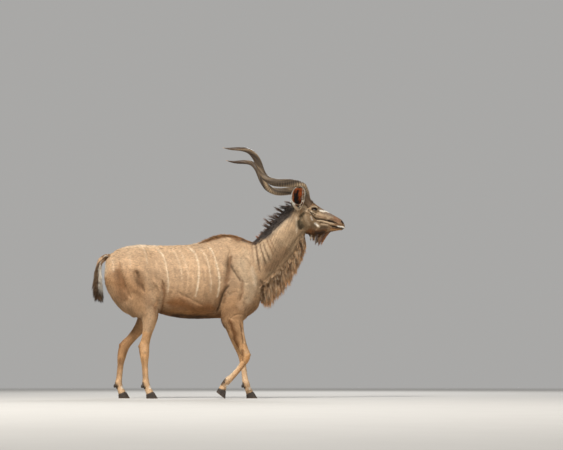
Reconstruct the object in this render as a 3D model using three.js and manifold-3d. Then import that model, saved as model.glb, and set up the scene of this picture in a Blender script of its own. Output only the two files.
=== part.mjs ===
// A greater kudu bull at life size, as a still museum model: it walks with its head up, its right foreleg
// just leaving the ground. Millimetres. +X is towards the nose, +Y is the animal's left, +Z is up, and the
// hooves stand on z = 0. The body is modelled whole and then parted with thin cuts.
import * as THREE from "three";
import { mergeVertices } from "three/addons/utils/BufferGeometryUtils.js";
import Module from "manifold-3d";

const wasm = await Module();
wasm.setup();

// Driving sizes of the animal.
const CUT = 0.4; // width of the thin cuts between neighbours
const TRUNK_SIDES = 20;
const CLAW_SIDES = 12;
const SLIVER = 0.3; // edges shorter than this, left where locks cross, are closed up
const TRUNK_STEPS = 2; // sections made from each named one
const HEAD_SIDES = 22;
const HEAD_STEPS = 2;
const LIMB_SIDES = 10;
const LIMB_STEPS = 2;
const LEG_TOP = 672; // the height at which a leg is parted from the body
const TAIL_CUT = -987; // where the tail is parted from the rump
const RIGHT = -1;
const LEFT = 1;

const HORN = {
  base: [779, 44, 1714], // on the left; the right one mirrors it
  sunk: 70, // how deep the root stands in the head
  root: [-0.45, 0.1, 0.89], // the way the root runs
  reach: 840, // along the horn's own axis
  pitch: 529, // one turn of the spiral
  front: 98, // how far up the spiral first stands to the front
  coil: 60.5, // radius of the spiral, front to back
  flat: 0.8, // its radius from side to side, as a share of that
  tight: 0.71, // how much of the radius is left at the tip
  lag: 0.023, // how far the axis falls back for each unit along it
  rise: 0.543, // of the axis: its upward share, the rest runs back
  lean: 284, // how far the axis leans out in the end
  leanBy: 205, // how soon it does
  ease: 30, // how far up it starts to
  setBack: 8, // how far back the base stands from the spiral's own start
  radius: 42,
  keel: 0.22,
};
const EYE = { at: [832, 70, 1632], radius: 20, look: [0.26, 0.95, 0.12] };
const LIDS = { wide: 18, tear: 21, above: 13, below: 11, thick: 2.2, slant: -0.2, fold: 18 };
const EAR = { root: [689, 46, 1581], length: 285, half: 65, wall: 6 };
const HOOF = { heel: 27, toe: 69, claw: 36, gap: 4 }; // lengths of the sole, from under the coronet

const v3 = (x, y, z) => new THREE.Vector3(x, y, z);
const mix = THREE.MathUtils.lerp;
const clamp = THREE.MathUtils.clamp;
const smooth = (x, a, b) => THREE.MathUtils.smoothstep(x, a, b);

// A seeded draw between -1 and 1, so that each run makes the same locks.
function drawer(seed) {
  let state = seed;
  return () => {
    state = (state * 1664525 + 1013904223) % 4294967296;
    return (state / 4294967296) * 2 - 1;
  };
}

// Rows of numbers between the given ones, on smooth curves through them.
function fill(rows, steps) {
  const last = rows.length - 1;
  const at = (i) => rows[clamp(i, 0, last)];
  const out = [];
  for (let i = 0; i < last; i++)
    for (let k = 0; k < steps; k++) out.push(between(at, i, k / steps));
  out.push(rows[last].slice());
  return out;
}

function between(at, i, t) {
  return at(i).map((_, c) => {
    const [a, b, d, e] = [at(i - 1)[c], at(i)[c], at(i + 1)[c], at(i + 2)[c]];
    return (
      b +
      0.5 *
        t *
        (d - a + t * (2 * a - 5 * b + 4 * d - e + t * (3 * (b - d) + e - a)))
    );
  });
}

// The row at a place that may lie between two of them.
function rowAt(rows, s) {
  const i = clamp(Math.floor(s), 0, rows.length - 2);
  return between((k) => rows[clamp(k, 0, rows.length - 1)], i, s - i);
}

// A closed solid from triangles given as vectors.
function solidOf(triangles) {
  const flat = triangles.flatMap((p) => [p.x, p.y, p.z]);
  const geometry = new THREE.BufferGeometry();
  geometry.setAttribute("position", new THREE.Float32BufferAttribute(flat, 3));
  return solidFrom(geometry);
}

function solidFrom(geometry) {
  const bare = geometry.index ? geometry.toNonIndexed() : geometry.clone();
  bare.deleteAttribute("normal");
  bare.deleteAttribute("uv");
  const merged = mergeVertices(bare, 1e-3);
  const triVerts = new Uint32Array(
    dropFlat(Array.from(merged.index.array)),
  );
  const build = () =>
    new wasm.Manifold(
      new wasm.Mesh({
        numProp: 3,
        vertProperties: new Float32Array(merged.attributes.position.array),
        triVerts,
      }),
    );
  const made = build();
  if (made.volume() > 0) return made;
  for (let i = 0; i < triVerts.length; i += 3)
    [triVerts[i + 1], triVerts[i + 2]] = [triVerts[i + 2], triVerts[i + 1]];
  return build();
}

// Triangles whose corners have merged into one another hold no surface.
function dropFlat(index) {
  const kept = [];
  for (let i = 0; i < index.length; i += 3) {
    const [a, b, c] = index.slice(i, i + 3);
    if (a !== b && b !== c && a !== c) kept.push(a, b, c);
  }
  return kept;
}

// A closed skin over rings of as many points each. Either end is closed by a fan round its middle, or, where
// a tip is given, the last ring runs out to that point and the first is closed without a middle.
function loft(rings, tip) {
  const triangles = [];
  const count = rings[0].length;
  for (let i = 0; i + 1 < rings.length; i++)
    for (let k = 0; k < count; k++) {
      const [a, b] = [rings[i][k], rings[i][(k + 1) % count]];
      const [c, d] = [rings[i + 1][k], rings[i + 1][(k + 1) % count]];
      triangles.push(a, c, b, b, c, d);
    }
  const middle = (ring) =>
    ring.reduce((sum, p) => sum.add(p), v3(0, 0, 0)).divideScalar(count);
  const [first, last] = [rings[0], rings[rings.length - 1]];
  const end = tip ?? middle(last);
  for (let k = 0; k < count; k++) triangles.push(end, last[(k + 1) % count], last[k]);
  if (tip) for (let k = 1; k + 1 < count; k++) triangles.push(first[0], first[k], first[k + 1]);
  else for (let k = 0; k < count; k++) triangles.push(middle(first), first[k], first[(k + 1) % count]);
  return solidOf(triangles);
}

const join = (solids) => wasm.Manifold.union(solids);

// The largest closed surface of a solid.
function whole(solid) {
  return solid.decompose().reduce((a, b) => (b.volume() > a.volume() ? b : a));
}

// A slab as thin as the cuts, square to a direction, to part a solid with.
function knife(at, facing, high, wide) {
  const box = new THREE.BoxGeometry(CUT, wide, high);
  const turn = new THREE.Quaternion().setFromUnitVectors(
    v3(1, 0, 0),
    facing.clone().normalize(),
  );
  box.applyQuaternion(turn).translate(at.x, at.y, at.z);
  return solidFrom(box);
}

// The piece of a parted solid whose box is centred nearest to a point.
function pieceNear(pieces, x, y, z) {
  const distance = (piece) => {
    const { min, max } = piece.boundingBox();
    return Math.hypot(
      (min[0] + max[0]) / 2 - x,
      (min[1] + max[1]) / 2 - y,
      (min[2] + max[2]) / 2 - z,
    );
  };
  return pieces.reduce((a, b) => (distance(b) < distance(a) ? b : a));
}

const mirrored = (solid) => solid.mirror([0, 1, 0]);

// Trunk and neck. Each section runs from a point of the back line to one of the belly or throat line:
// back x, back z, belly x, belly z, half width, share of the height where it is widest, how sharp the
// back is and how sharp the belly is.
const TRUNK = {
  buttock: [-984, 1180, -984, 1072, 55, 0.5, 1, 1],
  tailHead: [-960, 1226, -958, 990, 108, 0.5, 1.1, 1],
  pelvis: [-905, 1266, -905, 920, 145, 0.55, 1.2, 1],
  croup: [-815, 1303, -815, 850, 172, 0.6, 1.3, 1],
  hips: [-715, 1320, -715, 800, 184, 0.62, 1.35, 0.95],
  hooks: [-615, 1318, -615, 762, 190, 0.6, 1.35, 0.95],
  flank: [-510, 1316, -505, 727, 196, 0.52, 1.3, 0.92],
  loin: [-405, 1316, -400, 702, 209, 0.46, 1.25, 0.9],
  barrel: [-300, 1322, -300, 688, 217, 0.44, 1.25, 0.9],
  ribs: [-200, 1332, -200, 684, 217, 0.44, 1.3, 0.9],
  girth: [-100, 1360, -97, 686, 208, 0.44, 1.45, 0.92],
  elbow: [0, 1393, 10, 691, 192, 0.45, 1.6, 0.95],
  withers: [105, 1403, 130, 694, 174, 0.46, 1.75, 1],
  shoulder: [195, 1386, 240, 706, 162, 0.47, 1.7, 1.1],
  breast: [258, 1359, 328, 774, 150, 0.48, 1.5, 1.1],
  neckRoot: [304, 1352, 374, 865, 137, 0.48, 1.4, 1.05],
  neckLow: [346, 1379, 445, 948, 126, 0.48, 1.35, 1],
  neckFull: [396, 1427, 532, 1036, 116, 0.48, 1.35, 1],
  neckMid: [455, 1487, 612, 1132, 106, 0.48, 1.3, 1],
  neckHigh: [512, 1546, 676, 1238, 97, 0.48, 1.25, 1],
  nape: [564, 1603, 716, 1328, 90, 0.5, 1.2, 1],
  poll: [614, 1655, 742, 1400, 86, 0.5, 1.1, 1],
  skull: [668, 1692, 762, 1440, 78, 0.55, 1, 1],
};
const TRUNK_ROWS = Object.values(TRUNK);
const station = (name) => Object.keys(TRUNK).indexOf(name);

// Soft pushes outwards (or in, where negative) on the sides: place x and z, reach along x and z, depth.
const TRUNK_FORMS = {
  hookBone: [-640, 1258, 55, 40, 17],
  flankHollow: [-520, 1180, 75, 70, -17],
  paralumbar: [-420, 1255, 95, 40, -9],
  croupHollow: [-840, 1235, 70, 45, -10],
  lastRib: [-330, 990, 50, 170, 8],
  bellyRound: [-330, 800, 170, 80, 8],
  girthGroove: [-20, 830, 50, 120, -12],
  scapulaSpine: [60, 1210, 45, 130, 10],
  behindShoulder: [-50, 1180, 45, 130, -9],
  neckGroove: [520, 1200, 40, 120, -9],
  neckMuscle: [440, 1230, 60, 120, 8],
  breastGroove: [345, 1010, 40, 110, -9],
  pointOfShoulder: [300, 940, 60, 65, 10],
};

function pushed(point, forms) {
  let push = 0;
  for (const [x, z, reachX, reachZ, by] of Object.values(forms)) {
    const away = ((point.x - x) / reachX) ** 2 + ((point.z - z) / reachZ) ** 2;
    push += by * Math.exp(-away);
  }
  const side = smooth(Math.abs(point.y), 10, 90) * Math.sign(point.y);
  return v3(point.x, point.y + side * push, point.z);
}

// A point of a section, at an angle from the side: 90 degrees is the back, -90 the belly.
function trunkPoint(row, angle, forms = TRUNK_FORMS, grow = 0) {
  const [bx, bz, lx, lz, half, widest, roof, floor] = row;
  const up = Math.sin(angle);
  const out = Math.cos(angle);
  const share = up > 0 ? mix(widest, 1, up) : mix(widest, 0, -up);
  const sharp = up > 0 ? roof : floor;
  const y = half * Math.sign(out) * Math.abs(out) ** sharp;
  const point = pushed(v3(mix(lx, bx, share), y, mix(lz, bz, share)), forms);
  return point.add(v3(0, grow * out, grow * up));
}

function ringOf(sides, pointAt) {
  return Array.from({ length: sides }, (_, k) =>
    pointAt((k / sides) * 2 * Math.PI),
  );
}

function makeTrunk(grow) {
  return loft(
    fill(TRUNK_ROWS, TRUNK_STEPS).map((row) =>
      ringOf(TRUNK_SIDES, (angle) => trunkPoint(row, angle, TRUNK_FORMS, grow)),
    ),
  );
}

// Limbs. Each section: x, y, z of the middle, its depth forwards and backwards, and its half width.
const FORE_UPPER = [
  [118, 58, 1300, 50, 50, 28],
  [138, 98, 1200, 112, 118, 46],
  [166, 112, 1080, 152, 160, 57],
  [186, 118, 960, 160, 172, 60],
  [172, 118, 850, 140, 148, 58],
  [148, 114, 765, 112, 122, 54],
];
const HIND_UPPER = [
  [-812, 60, 1240, 85, 80, 50],
  [-796, 92, 1150, 180, 178, 88],
  [-768, 108, 1050, 232, 212, 100],
  [-735, 114, 950, 236, 205, 98],
  [-690, 116, 860, 200, 178, 86],
  [-640, 114, 785, 150, 130, 72],
];

// The lower leg from the elbow or stifle down, set out from its joints.
const rightFore = {
  forearm: [
    [132, 106, 690, 98, 102, 49],
    [146, 102, 620, 76, 76, 43],
    [172, 99, 540, 57, 60, 37],
    [202, 97, 460, 45, 46, 32],
    [224, 96, 410, 40, 38, 31],
  ],
  knee: [[240, 95, 368, 39, 33, 32], [232, 95, 328, 35, 30, 29]],
  cannon: [
    [206, 94, 284, 27, 28, 22],
    [168, 94, 235, 25, 27, 21],
    [126, 93, 188, 26, 29, 23],
  ],
  fetlock: [[86, 93, 152, 32, 33, 28], [61, 93, 122, 28, 29, 27]],
  coronet: [[46, 92, 98, 31, 30, 32], [38, 92, 78, 35, 33, 37]],
};
const leftFore = {
  forearm: [
    [118, 106, 690, 98, 102, 49],
    [128, 101, 620, 76, 76, 43],
    [146, 97, 540, 58, 60, 37],
    [170, 94, 460, 45, 47, 32],
    [187, 92, 410, 40, 39, 31],
  ],
  knee: [[199, 91, 370, 38, 34, 32], [206, 90, 330, 34, 31, 30]],
  cannon: [
    [213, 90, 286, 26, 28, 22],
    [221, 89, 226, 25, 27, 21],
    [229, 89, 168, 26, 29, 23],
  ],
  fetlock: [[238, 88, 124, 32, 34, 28], [249, 88, 92, 28, 28, 27]],
  coronet: [[259, 88, 67, 31, 30, 32], [268, 88, 46, 35, 33, 37]],
};
const hindLower = (hock, fetlock, hoofTop) => {
  const [hx, hz] = hock;
  const [fx, fz] = fetlock;
  const [cx, cz] = hoofTop;
  const down = (t) => [mix(hx, fx, t), mix(hz, fz, t)];
  const shin = (t) => {
    const [x, z] = down(t);
    return [x, 100 - 6 * t, z];
  };
  return {
    cannon: [
      [...shin(0.12), 36, 38, 29],
      [...shin(0.34), 27, 31, 23],
      [...shin(0.6), 26, 29, 22],
      [...shin(0.84), 27, 30, 24],
    ],
    fetlock: [[...shin(1), 32, 35, 29]],
    coronet: [
      [mix(fx, cx, 0.4), 93, mix(fz, cz, 0.42), 29, 29, 28],
      [mix(fx, cx, 0.75), 93, mix(fz, cz, 0.76), 32, 31, 33],
      [cx, 93, cz, 35, 33, 37],
    ],
  };
};
const rightHind = {
  gaskin: [
    [-596, 110, 715, 94, 82, 58],
    [-590, 106, 645, 63, 62, 46],
    [-602, 103, 570, 45, 47, 36],
    [-616, 101, 500, 38, 44, 31],
  ],
  hock: [[-626, 100, 440, 40, 52, 33], [-628, 100, 398, 42, 46, 34]],
  ...hindLower([-628, 370], [-612, 122], [-580, 46]),
};
const leftHind = {
  gaskin: [
    [-640, 110, 715, 96, 84, 58],
    [-666, 106, 645, 65, 64, 46],
    [-716, 103, 575, 47, 48, 36],
    [-768, 101, 512, 39, 44, 31],
  ],
  hock: [[-812, 100, 458, 41, 50, 33], [-834, 100, 412, 42, 44, 34]],
  ...hindLower([-844, 378], [-868, 124], [-838, 46]),
};
const LEFT_THIGH_BACK = -34; // the left thigh swings back with its leg

// A tube of oval sections that stand square to the line through their middles, seen from the side.
function limb(rows, side) {
  const lines = fill(rows, LIMB_STEPS);
  const rings = lines.map((row, i) => {
    const [before, after] = [
      lines[Math.max(i - 1, 0)],
      lines[Math.min(i + 1, lines.length - 1)],
    ];
    const run = v3(after[0] - before[0], 0, after[2] - before[2]).normalize();
    const ahead = v3(-run.z, 0, run.x);
    const [x, y, z, fore, aft, half] = row;
    return ringOf(LIMB_SIDES, (angle) => {
      const depth = Math.cos(angle) * (Math.cos(angle) > 0 ? fore : aft);
      return v3(x, side * y, z)
        .addScaledVector(ahead, depth)
        .add(v3(0, Math.sin(angle) * half, 0));
    });
  });
  return { solid: loft(rings), end: rings[rings.length - 1], rows: lines };
}

const legRows = (upper, lower) => [...upper, ...Object.values(lower).flat()];

// The frame of a foot: the middle of the coronet, straight down the pastern, forwards, and to the side.
function footFrame(rows, side) {
  const [last, before] = [rows[rows.length - 1], rows[rows.length - 2]];
  const down = v3(last[0] - before[0], 0, last[2] - before[2]).normalize();
  return {
    at: v3(last[0], side * last[1], last[2]),
    down,
    ahead: v3(-down.z, 0, down.x),
    fore: last[3],
    aft: last[4],
    half: last[5],
  };
}

// The right fore hoof leaves the ground: it stands tipped up on its toe.
const TIPPED = { name: "leg_front_right", angle: 0.66, toe: [64, -3] };

// One claw: its wall runs from the coronet to a flat sole, pointed at the toe and straight inside.
function claw(frame, out, tipped) {
  const length = HOOF.heel + HOOF.toe;
  const halfWide = HOOF.claw / 2;
  const middle = out * (halfWide + HOOF.gap / 2);
  const angle = tipped ? TIPPED.angle : 0;
  const toe = tipped
    ? v3(TIPPED.toe[0], frame.at.y, TIPPED.toe[1])
    : v3(frame.at.x + HOOF.toe, frame.at.y, 0);
  const sideways = (a, wide) => {
    const outer = Math.sin(a) * out > 0 ? 1 : 0.8;
    const narrow = 1 - 0.45 * Math.max(Math.cos(a), 0) ** 2;
    return middle + Math.sin(a) * wide * outer * narrow;
  };
  const top = ringOf(CLAW_SIDES, (a) => {
    const reach = Math.cos(a) > 0 ? frame.fore : frame.aft;
    return frame.at
      .clone()
      .addScaledVector(frame.down, CUT)
      .addScaledVector(frame.ahead, Math.cos(a) * reach * 0.97)
      .add(v3(0, sideways(a, halfWide), 0));
  });
  const sole = ringOf(CLAW_SIDES, (a) => {
    const back = ((1 - Math.cos(a)) / 2) * length;
    return toe.clone().add(
      v3(-Math.cos(angle) * back, sideways(a, halfWide * 1.1), Math.sin(angle) * back),
    );
  });
  const wall = top.map((p, k) => p.clone().lerp(sole[k], 0.55).add(v3(0, 0, 1)));
  return loft([top, wall, sole]).trimByPlane([0, 0, 1], 0);
}

// A small egg-shaped dewclaw behind the fetlock.
function dewclaw(row, side, out) {
  const [x, y, z, , aft] = row;
  const egg = new THREE.SphereGeometry(1, 7, 4);
  egg.scale(12, 10, 18).rotateY(0.35);
  egg.translate(x - aft * 0.86, side * y + out * 15, z - 16);
  return solidFrom(egg);
}

// Head. The sections are set out as the trunk's are, from the back of the skull to the lips.
const HEAD = {
  back: [664, 1690, 690, 1560, 58, 0.6, 1, 1],
  ears: [704, 1714, 716, 1490, 78, 0.62, 0.9, 1],
  jawAngle: [748, 1722, 742, 1444, 84, 0.64, 0.8, 0.95],
  horns: [790, 1716, 780, 1424, 85, 0.66, 0.8, 1],
  brow: [826, 1694, 820, 1412, 80, 0.7, 0.72, 1.05],
  eye: [860, 1668, 858, 1408, 73, 0.72, 0.7, 1.15],
  cheek: [900, 1644, 898, 1411, 61, 0.68, 0.75, 1.15],
  face: [940, 1620, 936, 1423, 51, 0.62, 0.8, 1.1],
  nose: [980, 1598, 974, 1436, 44, 0.56, 0.8, 1],
  muzzle: [1020, 1576, 1012, 1445, 41, 0.5, 0.75, 0.9],
  nostril: [1054, 1556, 1046, 1451, 41, 0.5, 0.7, 0.85],
  snout: [1078, 1534, 1072, 1458, 37, 0.48, 0.7, 0.8],
  lips: [1091, 1512, 1088, 1468, 28, 0.46, 0.8, 0.85],
  tip: [1097, 1497, 1095, 1480, 10, 0.5, 1, 1],
};
const HEAD_ROWS = Object.values(HEAD);
const HEAD_FORMS = {
  orbit: [836, 1648, 38, 34, 9],
  temple: [772, 1664, 26, 30, -9],
  underEye: [850, 1596, 40, 16, -6],
  tearPit: [900, 1618, 24, 20, -7],
  faceRidge: [920, 1560, 70, 14, 5],
  masseter: [770, 1525, 55, 60, 9],
  cheekHollow: [880, 1500, 36, 34, -8],
  underCheek: [960, 1545, 60, 18, -3],
  lipFold: [1030, 1500, 50, 20, 3],
  nostrilWing: [1070, 1536, 18, 16, 6],
  throatGroove: [722, 1500, 18, 60, -6],
};

function makeHead(grow) {
  return loft(
    fill(HEAD_ROWS, HEAD_STEPS).map((row) =>
      ringOf(HEAD_SIDES, (angle) => trunkPoint(row, angle, HEAD_FORMS, grow)),
    ),
  );
}

// A tapering tube along a line of points, pointed at both ends.
function cord(points, widest, sides = 5, steps = 6) {
  const line = new THREE.CatmullRomCurve3(points);
  const { normals, binormals } = line.computeFrenetFrames(steps, false);
  const rings = [];
  for (let i = 0; i <= steps; i++) {
    const t = i / steps;
    const radius = Math.max(widest * Math.sin(Math.PI * t) ** 0.6, 0.25);
    const middle = line.getPointAt(t);
    rings.push(
      ringOf(sides, (angle) =>
        middle
          .clone()
          .addScaledVector(normals[i], Math.cos(angle) * radius)
          .addScaledVector(binormals[i], Math.sin(angle) * radius),
      ),
    );
  }
  return loft(rings);
}

// The left eye's own frame: out of the head, forwards along the lids, and up.
function eyeFrame() {
  const look = v3(...EYE.look).normalize();
  const fore = v3(1, 0, LIDS.slant);
  fore.addScaledVector(look, -fore.dot(look)).normalize();
  const up = fore.clone().cross(look);
  if (up.z < 0) up.negate();
  const at = v3(...EYE.at);
  const place = (a, b, c) =>
    at.clone().addScaledVector(fore, a).addScaledVector(up, b).addScaledVector(look, c);
  return { look, fore, up, place };
}

// The outline of the opening between the lids: an almond with its longer corner towards the nose.
function lidOutline() {
  const count = 6;
  const points = [];
  for (let k = 0; k < 2 * count; k++) {
    const angle = (k / count) * Math.PI;
    const [a, b] = [Math.cos(angle), Math.sin(angle)];
    const high = b > 0 ? LIDS.above : LIDS.below;
    points.push([a * (a > 0 ? LIDS.tear : LIDS.wide), Math.sign(b) * Math.abs(b) ** 1.15 * high]);
  }
  return points;
}

// The lids as one rounded rim over the ball, a fold above them, and the opening to be taken from them.
function lids() {
  const { look, fore, up, place } = eyeFrame();
  const rim = new THREE.SphereGeometry(1, 12, 8);
  const out = EYE.radius + LIDS.thick;
  rim.scale(out + 6, out, out + 4);
  rim.applyMatrix4(new THREE.Matrix4().makeBasis(fore, look, up).setPosition(...EYE.at));
  const opening = loft(
    [8, 40].map((depth) => lidOutline().map(([a, b]) => place(a, b, depth))),
  );
  const arc = [-1, -0.5, 0, 0.5, 1].map((t) =>
    place(t * 26, LIDS.fold * (1 - 0.7 * t * t), out * (0.74 - 0.4 * t * t)),
  );
  return { rim: join([solidFrom(rim), cord(arc, 5, 4)]), opening };
}

const MOUTH = { corner: [972, 1491], front: [1097, 1480], dip: 3, deep: 13, gape: 2.6 };

// A point of the line of the mouth: turn runs from -90 degrees at the right corner round the lips to 90 at
// the left one. The point is set in from the skin by a depth.
function mouthPoint(turn, inset) {
  const fore = Math.max(Math.cos(turn), 0);
  const x = mix(MOUTH.corner[0], MOUTH.front[0], fore ** 0.6);
  const z = mix(MOUTH.corner[1], MOUTH.front[1], fore) - MOUTH.dip * Math.sin(Math.PI * fore);
  const half = headHalfAt(x, z) * smooth(Math.abs(turn), 0, 0.2);
  return v3(x - inset * fore, Math.sign(turn) * half - inset * Math.sin(turn), z);
}

const alongMouth = (pointAt, steps = 10) =>
  Array.from({ length: steps + 1 }, (_, i) => pointAt((i / steps - 0.5) * Math.PI));

// The groove between the lips: a thin wedge let in round the muzzle, from corner to corner.
function mouthGroove() {
  return loft(
    alongMouth((turn) => {
      const full = 0.4 + 0.6 * Math.sin(2 * Math.abs(turn));
      const outer = mouthPoint(turn, -8);
      return [
        mouthPoint(turn, MOUTH.deep * full),
        outer.clone().add(v3(0, 0, MOUTH.gape * full)),
        outer.clone().add(v3(0, 0, -MOUTH.gape * full)),
      ];
    }),
  );
}

// The upper or lower lip, from corner to corner; it stands back at the front by a depth.
function lip(lift, radius, back) {
  const points = alongMouth((turn) =>
    mouthPoint(turn, radius * 0.5 + back * Math.max(Math.cos(turn), 0)).add(v3(0, 0, lift)),
  );
  return cord(points, radius, 5, 12);
}

// Half width of the head at a place on its side, from the sections on either side of it.
function headHalfAt(x, z) {
  const rows = fill(HEAD_ROWS, HEAD_STEPS);
  const low = (row) => mix(row[2], row[0], (z - row[3]) / (row[1] - row[3]));
  const i = clamp(
    rows.findIndex((row) => low(row) > x) - 1,
    0,
    rows.length - 2,
  );
  const share = clamp((x - low(rows[i])) / (low(rows[i + 1]) - low(rows[i])), 0, 1);
  const row = rows[i].map((value, c) => mix(value, rows[i + 1][c], share));
  const [, bz, , lz, , widest] = row;
  const height = clamp((z - lz) / (bz - lz), 0, 1);
  const up =
    height > widest
      ? (height - widest) / (1 - widest)
      : (height - widest) / widest;
  return Math.abs(trunkPoint(row, Math.asin(clamp(up, -1, 1)), HEAD_FORMS).y);
}

// The left nostril: a pit like a comma on the front corner of the nose. Each place is a section of the head
// and an angle from its side.
function nostril() {
  const places = [
    [10.55, 0.95],
    [11.0, 0.78],
    [11.35, 0.5],
    [10.95, 0.26],
  ];
  const points = places.map(([s, angle]) => trunkPoint(rowAt(HEAD_ROWS, s), angle, HEAD_FORMS, 1));
  return cord(points, 8);
}

// Horns: an open spiral of about a turn and a half that leans back and outwards, with a keel that turns
// with it.
function hornLine() {
  const along = v3(-Math.sqrt(1 - HORN.rise ** 2), 0, HORN.rise);
  const front = v3(HORN.rise, 0, -along.x);
  const out = v3(0, 1, 0);
  const root = v3(...HORN.root);
  const turnAt = (u) => (2 * Math.PI * (u - HORN.front)) / HORN.pitch;
  const coilAt = (u) => HORN.coil * mix(1, HORN.tight, smooth(u, 600, HORN.reach));
  const forwards = (u) => coilAt(u) * started(u / 118) * Math.cos(turnAt(u)) - HORN.lag * u;
  const sideways = (u) =>
    HORN.flat * coilAt(u) * smooth(u, 31, 304) * Math.sin(turnAt(u)) +
    HORN.lean * (1 - Math.exp(-(u * u) / (u + HORN.ease) / HORN.leanBy));
  const spiral = (u) =>
    v3(0, 0, 0)
      .addScaledVector(front, forwards(u))
      .addScaledVector(out, sideways(u))
      .addScaledVector(along, u);
  const base = v3(...HORN.base);
  return {
    point: (u) =>
      (u < 0 ? root.clone().multiplyScalar(u) : spiral(u))
        .add(base)
        .add(v3(-HORN.setBack * (1 - smooth(u, 0, HORN.front)), 0, 0)),
    keel: (u) => {
      const turn = turnAt(u) - turnAt(0);
      return front.clone().multiplyScalar(Math.cos(turn)).addScaledVector(out, Math.sin(turn));
    },
  };
}

// From 0 to 1, starting off at once and coming to rest softly.
function started(t) {
  const x = clamp(t, 0, 1);
  return 0.75 * x * (1 - x) ** 2 + x * x * (3 - 2 * x);
}

function hornRadius(share) {
  return HORN.radius * (1 - 0.28 * smooth(share, 0, 0.3)) * (1 - share ** 3.6);
}

function makeHorn() {
  const sides = 10;
  const steps = 31;
  const line = hornLine();
  const rings = [];
  for (let i = 0; i <= steps; i++) {
    const u = mix(-HORN.sunk, HORN.reach, (i / steps) ** 0.95);
    const run = line.point(u + 1).sub(line.point(u - 1)).normalize();
    const keel = line.keel(u).addScaledVector(run, -line.keel(u).dot(run)).normalize();
    const across = run.clone().cross(keel);
    const radius = Math.max(hornRadius(Math.max(u, 0) / HORN.reach), 1.2);
    rings.push(
      ringOf(sides, (angle) => {
        const away = Math.min(angle, 2 * Math.PI - angle);
        const keelHeight = HORN.keel * smooth(u, -30, 120);
        const reach = radius * (1 + keelHeight * Math.exp(-((away / 0.5) ** 2)));
        return line
          .point(u)
          .addScaledVector(keel, Math.cos(angle) * reach)
          .addScaledVector(across, Math.sin(angle) * reach);
      }),
    );
  }
  return loft(rings);
}

// The left ear: a deep cup with a closed root, open to the side.
function earFrame() {
  const up = v3(-0.02, 0.64, 0.77).normalize();
  const open = v3(0.34, 0.94, -0.2);
  open.addScaledVector(up, -open.dot(up)).normalize();
  const fore = up.clone().cross(open).normalize();
  if (fore.x < 0) fore.negate();
  return { up, open, fore, root: v3(...EAR.root) };
}

function makeEar() {
  const { up, open, fore, root } = earFrame();
  const around = 12;
  const along = 12;
  const first = 4; // the cup's floor lies this many steps above the root
  const halfAt = (s) =>
    EAR.half * mix(0.32, 1, smooth(s, 0.05, 0.58)) * Math.sqrt(1 - smooth(s, 0.6, 1) ** 1.6);
  const deepAt = (s) => mix(22, 38, smooth(s, 0.05, 0.5)) * Math.sqrt(1 - s ** 2.6);
  const wrapAt = (s) => mix(Math.PI, 1.72, smooth(s, first / along, 0.55));
  const point = (s, t, inset, size) => {
    const angle = t * wrapAt(s);
    const [half, deep] = [halfAt(s) - inset, deepAt(s) - inset].map((x) => Math.max(x, 0) * size);
    return root
      .clone()
      .addScaledVector(up, s * EAR.length)
      .addScaledVector(fore, half * Math.sin(angle) + 6 * smooth(s, 0.3, 1))
      .addScaledVector(open, -deep * Math.cos(angle));
  };
  const ring = (pointAt) => Array.from({ length: around + 1 }, (_, k) => pointAt((k / around) * 2 - 1));
  const outer = [];
  const inner = [];
  for (let i = 0; i <= along; i++) {
    const s = Math.min(i / along, 0.985);
    const wall = mix(EAR.wall, 2.4, smooth(s, 0.5, 1));
    const size = Math.sqrt(1 - (1 - clamp((i - first) / 3, 0, 1)) ** 2);
    outer.push(ring((t) => point(s, t, 0, 1)));
    inner.push(ring((t) => point(s, t * 0.955, wall, size)));
  }
  const triangles = [];
  const quad = (a, b, c, d) => triangles.push(a, b, c, a, c, d);
  for (let i = 0; i < along; i++)
    for (let k = 0; k < around; k++) {
      quad(outer[i][k], outer[i][k + 1], outer[i + 1][k + 1], outer[i + 1][k]);
      if (i >= first)
        quad(inner[i][k + 1], inner[i][k], inner[i + 1][k], inner[i + 1][k + 1]);
    }
  for (let i = first; i < along; i++) {
    quad(outer[i][around], inner[i][around], inner[i + 1][around], outer[i + 1][around]);
    quad(inner[i][0], outer[i][0], outer[i + 1][0], inner[i + 1][0]);
  }
  for (let k = 0; k < around; k++)
    quad(outer[along][k], outer[along][k + 1], inner[along][k + 1], inner[along][k]);
  const floor = outer[0].slice(0, around).reduce((sum, p) => sum.add(p), v3(0, 0, 0));
  floor.divideScalar(around);
  for (let k = 0; k < around; k++) triangles.push(floor, outer[0][k + 1], outer[0][k]);
  return solidOf(triangles);
}

// Tail: a slim dock that hangs behind the thighs and widens into a tuft.
const TAIL = {
  inside: [-930, 1212, 32, 28],
  root: [-985, 1214, 30, 26],
  bend: [-1026, 1182, 25, 22],
  upper: [-1045, 1120, 21, 19],
  middle: [-1050, 1040, 19, 17],
  low: [-1049, 960, 17, 15],
  end: [-1044, 890, 8, 7],
};

function makeTail() {
  const rows = Object.values(TAIL).map(([x, z, deep, half]) => [x, 0, z, deep, deep, half]);
  return limb(rows, 1).solid;
}

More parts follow.
